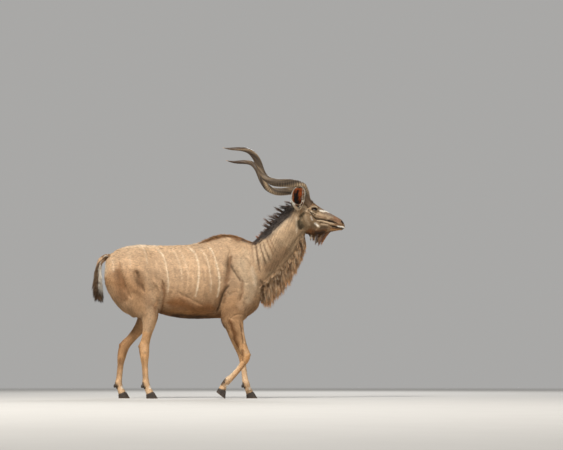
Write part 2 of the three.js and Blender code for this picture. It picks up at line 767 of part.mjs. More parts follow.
// One lock of hair: a flat, tapered blade that leaves the skin along out, which it rises by a share of its
// length, and bends over along its lie. Its root is sunk in the skin, and its flat side faces the way given.
function lock({ skin, out, lie, long, wide, face, rise = 0.6, sunk = 18 }) {
  const start = skin.clone().addScaledVector(out, -sunk);
  const bend = skin.clone().addScaledVector(out, long * rise * 0.7).addScaledVector(lie, long * 0.12);
  const tip = skin.clone().addScaledVector(out, long * rise).addScaledVector(lie, long * 0.72);
  const curve = new THREE.QuadraticBezierCurve3(start, bend, tip);
  const places = [
    [0, 0.8, 1],
    [0.4, 1, 0.9],
    [0.74, 0.74, 0.6],
  ];
  const rings = places.map(([t, width, depth]) => {
    const at = curve.getPoint(t);
    const run = curve.getTangent(t);
    const across = run.clone().cross(face).normalize();
    const ridge = across.clone().cross(run).normalize();
    return [1, -1]
      .map((end) => at.clone().addScaledVector(across, (end * wide * width) / 2))
      .concat(at.clone().addScaledVector(ridge, LOCK_THICK * depth));
  });
  return loft(rings, tip);
}

const LOCK_THICK = 7;

// Rows of locks along the back or throat line: from one named section to another, with the angles of the
// rows from the side, the hair's length along the way and its lie.
function trunkLocks({ from, to, count, angles, longAt, wide, lie, rise, seed }) {
  const draw = drawer(seed);
  const locks = [];
  angles.forEach((angle, r) => {
    for (let i = 0; i < count; i++) {
      const t = clamp((i + 0.5 + 0.5 * (r % 2) - 0.25 + 0.2 * draw()) / count, 0, 1);
      const row = rowAt(TRUNK_ROWS, mix(from, to, t));
      const skin = trunkPoint(row, angle);
      const middle = trunkPoint(row, 0);
      const normal = skin.clone().sub(v3(middle.x, 0, middle.z)).normalize();
      const out = normal.add(v3(0, 0.12 * draw(), 0)).normalize();
      const side = Math.abs(skin.y) > 1 ? Math.sign(skin.y) : Math.sign(draw());
      const face = v3(0.6 * draw(), side, 0.5 * draw()).normalize();
      const way = lie.clone().add(v3(0.14 * draw(), 0.14 * draw(), 0.14 * draw()));
      const long = longAt(t, r) * (1 + 0.13 * draw());
      locks.push(lock({ skin, out, lie: way, long, wide: wide * (1 + 0.15 * draw()), face, rise }));
    }
  });
  return locks;
}

// The beard under the jaw.
function beardLocks() {
  const draw = drawer(BEARD.seed);
  return Array.from({ length: BEARD.count }, (_, i) => {
    const t = (i + 0.5) / BEARD.count;
    const x = mix(BEARD.from, BEARD.to, t);
    const skin = v3(x, BEARD.half * (i % 2 ? 1 : -1) * (0.5 + 0.4 * draw()), BEARD.skin + 12);
    const long = BEARD.long * (0.42 + 0.58 * Math.sin(Math.PI * t ** 1.1)) * (1 + 0.1 * draw());
    return lock({
      skin,
      out: v3(0.06 * draw(), 0.12 * draw(), -1).normalize(),
      lie: v3(0.34 + 0.1 * draw(), 0.1 * draw(), -0.5),
      long,
      wide: 27,
      face: v3(0.4 * draw(), 1, 0).normalize(),
      sunk: 10,
    });
  });
}

// The tail's tuft: locks in rings down the dock, lying along it.
function tailLocks() {
  const draw = drawer(TUFT.seed);
  const dock = new THREE.CatmullRomCurve3(Object.values(TAIL).map(([x, z]) => v3(x, 0, z)));
  const locks = [];
  TUFT.rings.forEach(([t, long], r) => {
    const at = dock.getPoint(t);
    const down = dock.getTangent(t);
    const back = v3(-1, 0, 0);
    for (let k = 0; k < TUFT.around; k++) {
      const angle = ((k + 0.5 * (r % 2) + 0.15 * draw()) / TUFT.around) * 2 * Math.PI;
      const out = back.clone().multiplyScalar(Math.cos(angle)).add(v3(0, Math.sin(angle), 0));
      locks.push(
        lock({
          skin: at.clone().addScaledVector(out, TUFT.half),
          out: out.clone().multiplyScalar(0.42).addScaledVector(down, 0.35),
          lie: down.clone().addScaledVector(out, 0.05 + 0.1 * draw()),
          long: long * (1 + 0.12 * draw()),
          wide: TUFT.wide,
          face: out,
          sunk: 14,
        }),
      );
    }
  });
  return locks;
}

const UP = Math.PI / 2;
const DOWN = -Math.PI / 2;
const swell = (t) => Math.sin(Math.PI * clamp(t, 0, 1)) ** 0.5;
const BEARD = { from: 764, to: 926, skin: 1424, half: 10, long: 92, count: 9, seed: 5 };
const TUFT = {
  rings: [
    [0.44, 105],
    [0.64, 115],
    [0.84, 105],
  ],
  around: 5,
  half: 15,
  wide: 34,
  seed: 9,
};
const CREST = {
  from: station("neckRoot") + 0.25,
  to: station("skull") - 0.75,
  count: 13,
  angles: [UP - 0.28, UP + 0.28],
  longAt: (t) => 56 + 42 * swell(t * 0.85 + 0.12),
  wide: 44,
  rise: 0.6,
  lie: v3(-0.62, 0, -0.18),
  seed: 3,
};
const WITHERS = {
  from: station("barrel") + 0.4,
  to: station("shoulder") + 0.3,
  count: 8,
  angles: [UP - 0.22, UP + 0.22],
  longAt: (t) => 66 + 30 * swell(t),
  wide: 40,
  rise: 0.42,
  lie: v3(-0.95, 0, -0.1),
  seed: 4,
};
const THROAT = {
  from: station("breast") + 0.95,
  to: station("poll") - 0.2,
  count: 11,
  angles: [DOWN - 0.42, DOWN, DOWN + 0.42],
  longAt: (t, row) => (row === 1 ? 1 : 0.8) * (82 + 92 * smooth(t, -0.05, 0.2) * (1 - 0.75 * t)),
  wide: 54,
  rise: 0.6,
  lie: v3(0, 0, -0.66),
  seed: 7,
};

function part(group, name, solid, colour, roughness = 0.8) {
  const { vertProperties, triVerts, numProp } = solid.simplify(SLIVER).getMesh();
  const positions = new Float32Array((vertProperties.length / numProp) * 3);
  for (let i = 0; i * numProp < vertProperties.length; i++)
    positions.set(vertProperties.subarray(i * numProp, i * numProp + 3), i * 3);
  const geometry = new THREE.BufferGeometry();
  geometry.setAttribute("position", new THREE.BufferAttribute(positions, 3));
  geometry.setIndex(new THREE.BufferAttribute(new Uint32Array(triVerts), 1));
  const material = new THREE.MeshStandardMaterial({ color: colour, roughness, metalness: 0 });
  const mesh = new THREE.Mesh(geometry, material);
  mesh.name = name;
  group.add(mesh);
}

const COAT = 0xb49673;
const FACE = 0x8f7358;
const SHIN = 0xc08a52;
const HORNY = 0x5a4a3a;
const HOOFY = 0x2b2622;
const DARK = 0x140f0c;

// The body, whole.
const legs = {
  leg_front_right: limb(legRows(FORE_UPPER, rightFore), RIGHT),
  leg_front_left: limb(legRows(FORE_UPPER, leftFore), LEFT),
  leg_hind_right: limb(legRows(HIND_UPPER, rightHind), RIGHT),
  leg_hind_left: limb(
    legRows(HIND_UPPER.map(([x, ...rest], i) => [x + (LEFT_THIGH_BACK * i) / 5, ...rest]), leftHind),
    LEFT,
  ),
};
const trunk = makeTrunk(0);
const manes = [CREST, WITHERS, THROAT].flatMap(trunkLocks);
const flesh = Object.values(legs).map((leg) => leg.solid);
const body = join([trunk, makeTail(), ...tailLocks(), ...manes, ...flesh]);

// Parting the legs, the tail and the neck from the torso.
const below = body.trimByPlane([0, 0, -1], -LEG_TOP).decompose();
const above = body.trimByPlane([0, 0, 1], LEG_TOP + CUT);
const tail = whole(above.trimByPlane([-1, 0, 0], -TAIL_CUT + CUT));
const upper = whole(above.trimByPlane([1, 0, 0], TAIL_CUT));
const neckTop = v3(TRUNK.neckRoot[0], 0, TRUNK.neckRoot[1]);
const neckLow = v3(TRUNK.neckRoot[2], 0, TRUNK.neckRoot[3]);
const neckWay = neckTop.clone().sub(neckLow).cross(v3(0, 1, 0)).negate();
const neckKnife = knife(neckTop.clone().add(neckLow).divideScalar(2), neckWay, 900, 400);
const torsoAndNeck = upper.subtract(neckKnife).decompose();
const torso = pieceNear(torsoAndNeck, -350, 0, 1030);
const wholeNeck = pieceNear(torsoAndNeck, 560, 0, 1280);

// Head with its lids, lips, nostrils and mouth; the ears and horns stand on it.
const sides = [RIGHT, LEFT];
const ball = (radius) => {
  const sphere = new THREE.SphereGeometry(radius, 12, 7);
  return solidFrom(sphere.rotateX(Math.PI / 2).translate(...EYE.at));
};
const both = (solid) => [solid, mirrored(solid)];
const { rim, opening } = lids();
const face = join([makeHead(0), ...beardLocks(), ...both(rim), lip(9, 8.5, 0), lip(-7.5, 6, 4)])
  .subtract(join([mouthGroove(), ...both(join([nostril(), opening, ball(EYE.radius + CUT)]))]));
const headKnife = knife(v3(694, 0, 1548), v3(0.955, 0, 0.297), 620, 260);
const topPieces = join([wholeNeck, face]).subtract(headKnife).decompose();
const clearance = join([makeHead(1.5 * CUT), makeTrunk(1.5 * CUT), ...both(grown(rim, CUT))]);

const kudu = new THREE.Group();
part(kudu, "torso", torso, COAT);
part(kudu, "neck", pieceNear(topPieces, 520, 0, 1270), COAT);
part(kudu, "head", pieceNear(topPieces, 890, 0, 1560), FACE);
part(kudu, "tail", tail, COAT);

for (const [name, turned] of [["left", (solid) => solid], ["right", mirrored]]) {
  part(kudu, `eye_${name}`, turned(ball(EYE.radius)), DARK, 0.1);
  part(kudu, `ear_${name}`, whole(turned(makeEar()).subtract(clearance)), FACE);
  part(kudu, `horn_${name}`, whole(turned(makeHorn()).subtract(clearance)), HORNY, 0.5);
}

for (const [name, leg] of Object.entries(legs)) {
  const side = name.endsWith("right") ? RIGHT : LEFT;
  const foot = name.replace("leg_", "");
  const frame = footFrame(leg.rows, side);
  const fetlock = leg.rows[leg.rows.length - 1 - 3 * LIMB_STEPS];
  let solid = pieceNear(below, fetlock[0], frame.at.y, LEG_TOP / 2);
  for (const out of sides) {
    const place = out === side ? "outer" : "inner";
    const spur = dewclaw(fetlock, side, out);
    solid = solid.subtract(grown(spur, CUT));
    part(kudu, `dewclaw_${foot}_${place}`, spur, HOOFY, 0.5);
    part(kudu, `hoof_${foot}_${place}`, claw(frame, out, name === TIPPED.name), HOOFY, 0.5);
  }
  part(kudu, name, whole(solid), SHIN);
}

// A small solid made larger by the same depth all over, about its own middle.
function grown(solid, by) {
  const { min, max } = solid.boundingBox();
  const middle = min.map((low, i) => (low + max[i]) / 2);
  const share = min.map((low, i) => (max[i] - low + 2 * by) / (max[i] - low));
  return solid
    .translate(middle.map((x) => -x))
    .scale(share)
    .translate(middle);
}

// The origin stands on the floor, under the middle of the whole animal.
const box = new THREE.Box3().setFromObject(kudu);
kudu.position.set(-(box.min.x + box.max.x) / 2, -(box.min.y + box.max.y) / 2, 0);

export default kudu;
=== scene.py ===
"""A greater kudu bull at life size, as a still museum model: skin, coat, manes, horns, hooves and eyes, built
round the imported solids. Shapes are worked out in millimetres in the part's own frame and end in metres."""

from contextlib import contextmanager
from types import SimpleNamespace

import bmesh
import bpy
import numpy as np
import openvdb as vdb
from bpy.props import FloatProperty, FloatVectorProperty, IntProperty, PointerProperty
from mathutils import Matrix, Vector
from mathutils.kdtree import KDTree


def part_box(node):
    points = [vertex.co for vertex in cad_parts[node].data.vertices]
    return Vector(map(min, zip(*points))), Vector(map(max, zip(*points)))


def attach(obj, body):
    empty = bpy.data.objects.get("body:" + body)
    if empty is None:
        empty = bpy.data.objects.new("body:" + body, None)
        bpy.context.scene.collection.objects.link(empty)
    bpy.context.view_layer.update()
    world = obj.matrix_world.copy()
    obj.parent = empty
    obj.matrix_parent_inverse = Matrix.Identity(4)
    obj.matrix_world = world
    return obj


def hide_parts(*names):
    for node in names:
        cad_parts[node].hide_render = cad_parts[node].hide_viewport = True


bl_info = {
    "name": "Kudu Bull",
    "version": (1, 0, 0),
    "blender": (4, 5, 0),
    "location": "3D View > Sidebar > Kudu",
    "description": "Builds a greater kudu bull as a still museum model",
    "category": "Add Mesh",
}

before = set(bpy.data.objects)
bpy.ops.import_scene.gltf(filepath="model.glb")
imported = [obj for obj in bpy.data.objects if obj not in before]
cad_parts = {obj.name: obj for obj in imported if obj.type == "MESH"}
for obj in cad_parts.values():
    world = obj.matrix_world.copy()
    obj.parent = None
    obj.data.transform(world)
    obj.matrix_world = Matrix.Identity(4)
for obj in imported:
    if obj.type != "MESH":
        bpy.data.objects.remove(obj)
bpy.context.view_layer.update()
MM = 0.001
RIGHT, LEFT = -1, 1
SIDES = {"right": RIGHT, "left": LEFT}


def middle_of(node):
    low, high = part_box(node)
    return (low + high) / 2


# Tables of the body, in millimetres. They are the solids' own, but for the eye, the ears, the lips and the
# horns' feet, which were moved a few millimetres nearer to the photo here.
EYE = {"at": (827, 70, 1625), "radius": 20, "look": (0.26, 0.95, 0.12), "slant": -0.2}
SHIFT = np.array([middle_of("eye_left").x / MM - EYE["at"][0], 0, 0])

# Back x, back z, belly x, belly z, half width, share of the height where widest, sharpness of back and belly.
TRUNK = {
    "buttock": (-984, 1180, -984, 1072, 55, 0.5, 1, 1),
    "tail_head": (-960, 1226, -958, 990, 108, 0.5, 1.1, 1),
    "pelvis": (-905, 1266, -905, 920, 145, 0.55, 1.2, 1),
    "croup": (-815, 1303, -815, 850, 172, 0.6, 1.3, 1),
    "hips": (-715, 1320, -715, 800, 184, 0.62, 1.35, 0.95),
    "hooks": (-615, 1318, -615, 762, 190, 0.6, 1.35, 0.95),
    "flank": (-510, 1316, -505, 727, 196, 0.52, 1.3, 0.92),
    "loin": (-405, 1316, -400, 702, 209, 0.46, 1.25, 0.9),
    "barrel": (-300, 1322, -300, 688, 217, 0.44, 1.25, 0.9),
    "ribs": (-200, 1332, -200, 684, 217, 0.44, 1.3, 0.9),
    "girth": (-100, 1360, -97, 686, 208, 0.44, 1.45, 0.92),
    "elbow": (0, 1393, 10, 691, 192, 0.45, 1.6, 0.95),
    "withers": (105, 1403, 130, 694, 174, 0.46, 1.75, 1),
    "shoulder": (195, 1386, 240, 706, 162, 0.47, 1.7, 1.1),
    "breast": (258, 1359, 328, 774, 150, 0.48, 1.5, 1.1),
    "neck_root": (304, 1352, 374, 865, 137, 0.48, 1.4, 1.05),
    "neck_low": (346, 1379, 445, 948, 126, 0.48, 1.35, 1),
    "neck_full": (396, 1427, 532, 1036, 116, 0.48, 1.35, 1),
    "neck_mid": (455, 1487, 612, 1132, 106, 0.48, 1.3, 1),
    "neck_high": (512, 1546, 676, 1238, 97, 0.48, 1.25, 1),
    "nape": (564, 1603, 716, 1328, 90, 0.5, 1.2, 1),
    "poll": (614, 1655, 742, 1400, 86, 0.5, 1.1, 1),
    "skull": (668, 1692, 762, 1440, 78, 0.55, 1, 1),
}
# Soft pushes on the sides: place x and z, reach along x and z, depth.
TRUNK_FORMS = {
    "hook_bone": (-640, 1258, 55, 40, 17),
    "flank_hollow": (-520, 1180, 75, 70, -17),
    "paralumbar": (-420, 1255, 95, 40, -9),
    "croup_hollow": (-840, 1235, 70, 45, -10),
    "last_rib": (-330, 990, 50, 170, 8),
    "belly_round": (-330, 800, 170, 80, 8),
    "girth_groove": (-20, 830, 50, 120, -12),
    "scapula_spine": (60, 1210, 45, 130, 10),
    "behind_shoulder": (-50, 1180, 45, 130, -9),
    "neck_groove": (520, 1200, 40, 120, -9),
    "neck_muscle": (440, 1230, 60, 120, 8),
    "breast_groove": (345, 1010, 40, 110, -9),
    "point_of_shoulder": (300, 940, 60, 65, 10),
}
HEAD = {
    "back": (664, 1690, 690, 1560, 58, 0.6, 1, 1),
    "ears": (704, 1714, 716, 1490, 78, 0.62, 0.9, 1),
    "jaw_angle": (748, 1722, 742, 1444, 84, 0.64, 0.8, 0.95),
    "horns": (790, 1716, 780, 1424, 85, 0.66, 0.8, 1),
    "brow": (826, 1694, 820, 1412, 80, 0.7, 0.72, 1.05),
    "eye": (860, 1668, 858, 1408, 73, 0.72, 0.7, 1.15),
    "cheek": (900, 1644, 898, 1411, 61, 0.68, 0.75, 1.15),
    "face": (940, 1620, 936, 1423, 51, 0.62, 0.8, 1.1),
    "nose": (980, 1598, 974, 1436, 44, 0.56, 0.8, 1),
    "muzzle": (1020, 1576, 1012, 1445, 41, 0.5, 0.75, 0.9),
    "nostril": (1054, 1556, 1046, 1451, 41, 0.5, 0.7, 0.85),
    "snout": (1078, 1534, 1072, 1455, 37, 0.48, 0.7, 0.8),
    "lips": (1091, 1512, 1088, 1461, 28, 0.46, 0.8, 0.85),
    "tip": (1098, 1490, 1096, 1468, 10, 0.5, 1, 1),
}
HEAD_FORMS = {
    "orbit": (836, 1648, 38, 34, 9),
    "temple": (772, 1664, 26, 30, -9),
    "under_eye": (850, 1596, 40, 16, -6),
    "tear_pit": (900, 1618, 24, 20, -7),
    "face_ridge": (920, 1560, 70, 14, 5),
    "masseter": (770, 1525, 55, 60, 9),
    "cheek_hollow": (880, 1500, 36, 34, -8),
    "under_cheek": (960, 1545, 60, 18, -3),
    "lip_fold": (1030, 1500, 50, 20, 3),
    "nostril_wing": (1070, 1536, 18, 16, 6),
    "throat_groove": (722, 1500, 18, 60, -6),
}
# Limb sections: x, y, z of the middle, depth forwards and backwards, half width.
FORE_UPPER = [
    (118, 58, 1300, 50, 50, 28),
    (138, 98, 1200, 112, 118, 46),
    (166, 112, 1080, 152, 160, 57),
    (186, 118, 960, 160, 172, 60),
    (172, 118, 850, 140, 148, 58),
    (148, 114, 765, 112, 122, 54),
]
HIND_UPPER = [
    (-812, 60, 1240, 85, 80, 50),
    (-796, 92, 1150, 180, 178, 88),
    (-768, 108, 1050, 232, 212, 100),
    (-735, 114, 950, 236, 205, 98),
    (-690, 116, 860, 200, 178, 86),
    (-640, 114, 785, 150, 130, 72),
]
RIGHT_FORE = [
    (132, 106, 690, 98, 102, 49),
    (146, 102, 620, 76, 76, 43),
    (172, 99, 540, 57, 60, 37),
    (202, 97, 460, 45, 46, 32),
    (224, 96, 410, 40, 38, 31),
    (240, 95, 368, 39, 33, 32),
    (232, 95, 328, 35, 30, 29),
    (206, 94, 284, 27, 28, 22),
    (168, 94, 235, 25, 27, 21),
    (126, 93, 188, 26, 29, 23),
    (86, 93, 152, 32, 33, 28),
    (61, 93, 122, 28, 29, 27),
    (46, 92, 98, 31, 30, 32),
    (38, 92, 78, 35, 33, 37),
]
LEFT_FORE = [
    (118, 106, 690, 98, 102, 49),
    (128, 101, 620, 76, 76, 43),
    (146, 97, 540, 58, 60, 37),
    (170, 94, 460, 45, 47, 32),
    (187, 92, 410, 40, 39, 31),
    (199, 91, 370, 38, 34, 32),
    (206, 90, 330, 34, 31, 30),
    (213, 90, 286, 26, 28, 22),
    (221, 89, 226, 25, 27, 21),
    (229, 89, 168, 26, 29, 23),
    (238, 88, 124, 32, 34, 28),
    (249, 88, 92, 28, 28, 27),
    (259, 88, 67, 31, 30, 32),
    (268, 88, 46, 35, 33, 37),
]
RIGHT_GASKIN = [
    (-596, 110, 715, 94, 82, 58),
    (-590, 106, 645, 63, 62, 46),
    (-602, 103, 570, 45, 47, 36),
    (-616, 101, 500, 38, 44, 31),
    (-626, 100, 440, 40, 52, 33),
    (-628, 100, 398, 42, 46, 34),
]
LEFT_GASKIN = [
    (-640, 110, 715, 96, 84, 58),
    (-666, 106, 645, 65, 64, 46),
    (-716, 103, 575, 47, 48, 36),
    (-768, 101, 512, 39, 44, 31),
    (-812, 100, 458, 41, 50, 33),
    (-834, 100, 412, 42, 44, 34),
]
LEFT_THIGH_BACK = -34
FEET = {  # hock, fetlock and top of the hoof, as x and z
    "right": ((-628, 370), (-612, 122), (-580, 46)),
    "left": ((-844, 378), (-868, 124), (-838, 46)),
}
# Shares of the way from hock to fetlock, and from fetlock to hoof along x and z, with depths and half width.
HIND_SHIN = [(0.12, 36, 38, 29), (0.34, 27, 31, 23), (0.6, 26, 29, 22), (0.84, 27, 30, 24), (1, 32, 35, 29)]
HIND_PASTERN = [(0.4, 0.42, 29, 29, 28), (0.75, 0.76, 32, 31, 33), (1, 1, 35, 33, 37)]
TAIL = [
    (-930, 1212, 32, 28),
    (-985, 1214, 30, 26),
    (-1026, 1182, 25, 22),
    (-1045, 1120, 21, 19),
    (-1050, 1040, 19, 17),
    (-1049, 960, 17, 15),
    (-1044, 890, 8, 7),
]
EAR = {"root": (689, 46, 1581), "length": 300, "half": 65, "wall": 6}
HORN = {
    "base": (779, 44, 1714),
    "sunk": 70,
    "root": (-0.45, 0.1, 0.89),
    "reach": 840,
    "pitch": 529,
    "front": 98,
    "coil": 60.5,
    "flat": 0.8,
    "tight": 0.71,
    "lag": 0.023,
    "rise": 0.543,
    "lean": 284,
    "lean_by": 205,
    "ease": 30,
    "set_back": 24,
    "radius": 42,
    "keel": 0.22,
}
HOOF = {"heel": 27, "toe": 69, "claw": 36, "gap": 4}
TIPPED = {"leg": "front_right", "angle": 0.66, "toe": (64, -3)}


# Small maths.
def smooth(x, a, b):
    t = np.clip((np.asarray(x, float) - a) / (b - a), 0, 1)
    return t * t * (3 - 2 * t)


def mix(a, b, t):
    return a + (b - a) * t


def unit(v):
    v = np.asarray(v, float)
    return v / np.maximum(np.linalg.norm(v, axis=-1, keepdims=True), 1e-9)


def squared(ways, axes):
    """The parts of directions that are square to the axes given."""
    return unit(ways - axes * (ways * axes).sum(-1, keepdims=True))


def bell(x, middle, width):
    """1 at the middle, falling away softly on both sides."""
    return np.exp(-(((x - middle) / width) ** 2))


def turns(count):
    """Angles evenly round a circle."""
    return np.arange(count) / count * 2 * np.pi


def row_at(rows, place):
    """Rows at places between the given ones, on smooth curves through them."""
    rows = np.asarray(rows, float)
    place = np.asarray(place, float)
    last = len(rows) - 1
    i = np.clip(np.floor(place).astype(int), 0, last - 1)
    t = (place - i)[..., None]
    a, b, d, e = (rows[np.clip(i + k, 0, last)] for k in (-1, 0, 1, 2))
    return b + 0.5 * t * (d - a + t * (2 * a - 5 * b + 4 * d - e + t * (3 * (b - d) + e - a)))


def fill(rows, steps):
    """All the rows, with that many steps from each to the next."""
    return row_at(rows, np.linspace(0, len(rows) - 1, (len(rows) - 1) * steps + 1))


def ripple(points, size, seed, waves=6):
    """A soft random swell over space, mostly between -1 and 1, of about that size."""
    draw = np.random.default_rng(seed)
    total = np.zeros(len(points))
    for _ in range(waves):
        way = unit(draw.normal(size=3)) * 2 * np.pi / (size * draw.uniform(0.6, 1.7))
        total += np.sin(points @ way + draw.uniform(0, 2 * np.pi))
    return total / np.sqrt(waves)


def near_line(points, line):
    """The distance of each point to a line of points, and the share of the way along it."""
    steps = np.diff(line, axis=0)
    lengths = np.maximum(np.linalg.norm(steps, axis=1), 1e-6)
    run = np.concatenate([[0], np.cumsum(lengths)])
    best = np.full(len(points), np.inf)
    share = np.zeros(len(points))
    for i, step in enumerate(steps):
        t = np.clip((points - line[i]) @ step / lengths[i] ** 2, 0, 1)
        away = np.linalg.norm(points - line[i] - t[:, None] * step, axis=1)
        closer = away < best
        best[closer] = away[closer]
        share[closer] = ((run[i] + t * lengths[i]) / run[-1])[closer]
    return best, share


def in_box(points, low, high):
    return np.all((points > low) & (points < high), axis=1)


def metres(points):
    return (np.asarray(points, float) + SHIFT) * MM


# The body's sections.
def pushed(points, forms):
    """Points whose sides are pushed out or in by soft forms."""
    push = np.zeros(points.shape[:-1])
    for x, z, reach_x, reach_z, by in forms.values():
        push += by * np.exp(-(((points[..., 0] - x) / reach_x) ** 2 + ((points[..., 2] - z) / reach_z) ** 2))
    side = smooth(np.abs(points[..., 1]), 10, 90) * np.sign(points[..., 1])
    out = points.copy()
    out[..., 1] += side * push
    return out


def trunk_point(rows, angle, forms):
    """Points of sections at angles from the side: a quarter turn up is the back, one down the belly."""
    bx, bz, lx, lz, half, widest, roof, floor = np.moveaxis(np.asarray(rows, float), -1, 0)
    up, out = np.sin(angle), np.cos(angle)
    share = np.where(up > 0, mix(widest, 1, up), mix(widest, 0, -up))
    sharp = np.where(up > 0, roof, floor)
    y = half * np.sign(out) * np.maximum(np.abs(out), 1e-9) ** sharp
    return pushed(np.stack([mix(lx, bx, share), y, mix(lz, bz, share)], -1), forms)


def section_rings(table, forms, steps=8, sides=64):
    rows = fill(list(table.values()), steps)
    return trunk_point(rows[:, None, :], turns(sides)[None, :], forms)


def limb_rings(rows, side, steps=6, sides=40):
    """Oval rings square to the line through their middles, seen from the side."""
    rows = fill(rows, steps)
    run = np.zeros((len(rows), 3))
    run[:, [0, 2]] = np.gradient(rows[:, [0, 2]], axis=0)
    run = unit(run)
    ahead = np.stack([-run[:, 2], 0 * run[:, 0], run[:, 0]], -1)
    middle = rows[:, :3] * (1, side, 1)
    cos, sin = np.cos(turns(sides)), np.sin(turns(sides))
    depth = cos * np.where(cos > 0, rows[:, 3:4], rows[:, 4:5])
    rings = middle[:, None] + ahead[:, None] * depth[..., None]
    rings[..., 1] += sin * rows[:, 5:6]
    return rings


def loft(rings):
    """Points, quads and triangles of a closed skin over rings of as many points each."""
    rows, sides = rings.shape[:2]
    points = with_ends(rings)
    i = np.arange(rows - 1)[:, None] * sides
    k = np.arange(sides)
    n = (k + 1) % sides
    quads = np.stack([i + k, i + n, i + sides + n, i + sides + k], -1).reshape(-1, 4)
    first, last, end = rows * sides, rows * sides + 1, (rows - 1) * sides
    caps = np.concatenate([
        np.stack([np.full(sides, first), n, k], -1),
        np.stack([np.full(sides, last), end + k, end + n], -1),
    ])
    return points, quads, caps


def with_ends(rings):
    """What rings hold, as one list, followed by the middle values of the first and the last ring."""
    ends = [rings[0].mean(0)[None], rings[-1].mean(0)[None]]
    return np.concatenate([rings.reshape(-1, *rings.shape[2:]), *ends])


def ball(rings, sides):
    """Angles from the front pole of a ball of radius 1, and its rings of points at them."""
    polar, turn = np.linspace(0, np.pi, rings + 1)[1:-1], turns(sides)
    sin, cos = np.sin(polar)[:, None], np.cos(polar)[:, None]
    return polar, np.stack([sin * np.cos(turn), sin * np.sin(turn), cos + 0 * turn], -1)


def leg_rows(name):
    """The sections of a leg, from its top down to the hoof."""
    end, side = name.split("_")
    if end == "front":
        return FORE_UPPER + (RIGHT_FORE if side == "right" else LEFT_FORE)
    hock, fetlock, hoof = (np.array(point) for point in FEET[side])
    back = LEFT_THIGH_BACK if side == "left" else 0
    upper = [(row[0] + back * i / 5, *row[1:]) for i, row in enumerate(HIND_UPPER)]
    shin = [(x, 100 - 6 * t, z, *sizes) for t, *sizes in HIND_SHIN for x, z in [mix(hock, fetlock, t)]]
    shares = np.array([row[:2] for row in HIND_PASTERN])
    pastern = [(x, 93, z, *row[2:]) for (x, z), row in zip(mix(fetlock, hoof, shares), HIND_PASTERN)]
    return upper + (RIGHT_GASKIN if side == "right" else LEFT_GASKIN) + shin + pastern


LEG_NAMES = ("front_right", "front_left", "hind_right", "hind_left")
LEGS = {name: (leg_rows(name), SIDES[name.split("_")[1]]) for name in LEG_NAMES}
TAIL_ROWS = [(x, 0, z, deep, deep, half) for x, z, deep, half in TAIL]


# One closed skin from the parts' distance fields.
VOXEL = 6.5
BAND = 8
GRID_LOW = tuple(int(np.floor(v / VOXEL)) for v in (-1110, -245, 15))
GRID_SHAPE = tuple(int(np.ceil(v / VOXEL)) - low for v, low in zip((1125, 245, 1750), GRID_LOW))


def field_of(rings):
    """How far each place of the grid is from a closed skin over rings."""
    points, quads, caps = loft(rings)
    triangles = np.concatenate([quads[:, [0, 1, 2]], quads[:, [0, 2, 3]], caps])
    grid = vdb.FloatGrid.createLevelSetFromPolygons(
        points.astype(np.float32),
        triangles=triangles.astype(np.uint32),
        transform=vdb.createLinearTransform(voxelSize=VOXEL),
        halfWidth=BAND,
    )
    values = np.empty(GRID_SHAPE, np.float32)
    grid.copyToArray(values, ijk=GRID_LOW)
    return values


def merged(a, b, soft):
    """The union of two distance fields, with a soft hollow of that reach where they meet."""
    near = np.maximum(soft - np.abs(a - b), 0) / soft
    return np.minimum(a, b) - near**3 * (soft / 6)


def body_surface(coat):
    """Points and quads of the skin, which lies inside the solids by the depth of the coat."""
    places = [(low + np.arange(count)) * VOXEL for low, count in zip(GRID_LOW, GRID_SHAPE)]
    x, _, z = (p.astype(np.float32) for p in places)
    deep, thin = coat.depth / MM, coat.face_depth / MM
    body = field_of(section_rings(TRUNK, TRUNK_FORMS)) + mix(deep, thin, smooth(x, 560, 700))[:, None, None]
    for rows, side in LEGS.values():
        last, before = np.array(rows[-1], float), np.array(rows[-2], float)
        sunk = last + (last - before) * (1, 0, 1, 0, 0, 0) * 0.35
        leg = field_of(limb_rings(list(rows) + [tuple(sunk)], side))
        body = merged(body, leg + mix(thin, deep, smooth(z, 450, 800))[None, None, :], 26)
    body = merged(body, field_of(limb_rings(TAIL_ROWS, 1)) + 2, 14)
    body = merged(body, field_of(section_rings(HEAD, HEAD_FORMS, steps=12, sides=80)) + thin, 14)
    grid = vdb.FloatGrid(BAND * VOXEL)
    grid.copyFromArray(np.ascontiguousarray(body), ijk=GRID_LOW)
    grid.transform = vdb.createLinearTransform(voxelSize=VOXEL)
    points, quads = grid.convertToQuads(isovalue=0)
    return points.astype(float), quads.astype(int)


# Meshes from arrays.
def mesh_of(name, points, *faces):
    """A smooth mesh from points and any arrays of quads and triangles."""
    mesh = bpy.data.meshes.new(name)
    mesh.vertices.add(len(points))
    mesh.vertices.foreach_set("co", np.asarray(points, np.float32).ravel())
    corners = np.concatenate([f.ravel() for f in faces])
    counts = np.concatenate([np.full(len(f), f.shape[1]) for f in faces])
    mesh.loops.add(len(corners))
    mesh.loops.foreach_set("vertex_index", corners.astype(np.int32))
    mesh.polygons.add(len(counts))
    mesh.polygons.foreach_set("loop_start", np.concatenate([[0], np.cumsum(counts)[:-1]]).astype(np.int32))
    mesh.polygons.foreach_set("use_smooth", np.ones(len(counts), bool))
    mesh.update(calc_edges=True)
    return mesh


def fetched(data, key, width, kind=np.float32):
    """What each item of a collection holds under a key, as rows of that width."""
    out = np.empty(len(data) * width, kind)
    data.foreach_get(key, out)
    return out.reshape(-1, width)


def points_of(mesh):
    return fetched(mesh.vertices, "co", 3).astype(float)


def set_points(mesh, points):
    mesh.vertices.foreach_set("co", np.asarray(points, np.float32).ravel())
    mesh.update()


def normals_of(mesh):
    return fetched(mesh.vertex_normals, "vector", 3).astype(float)


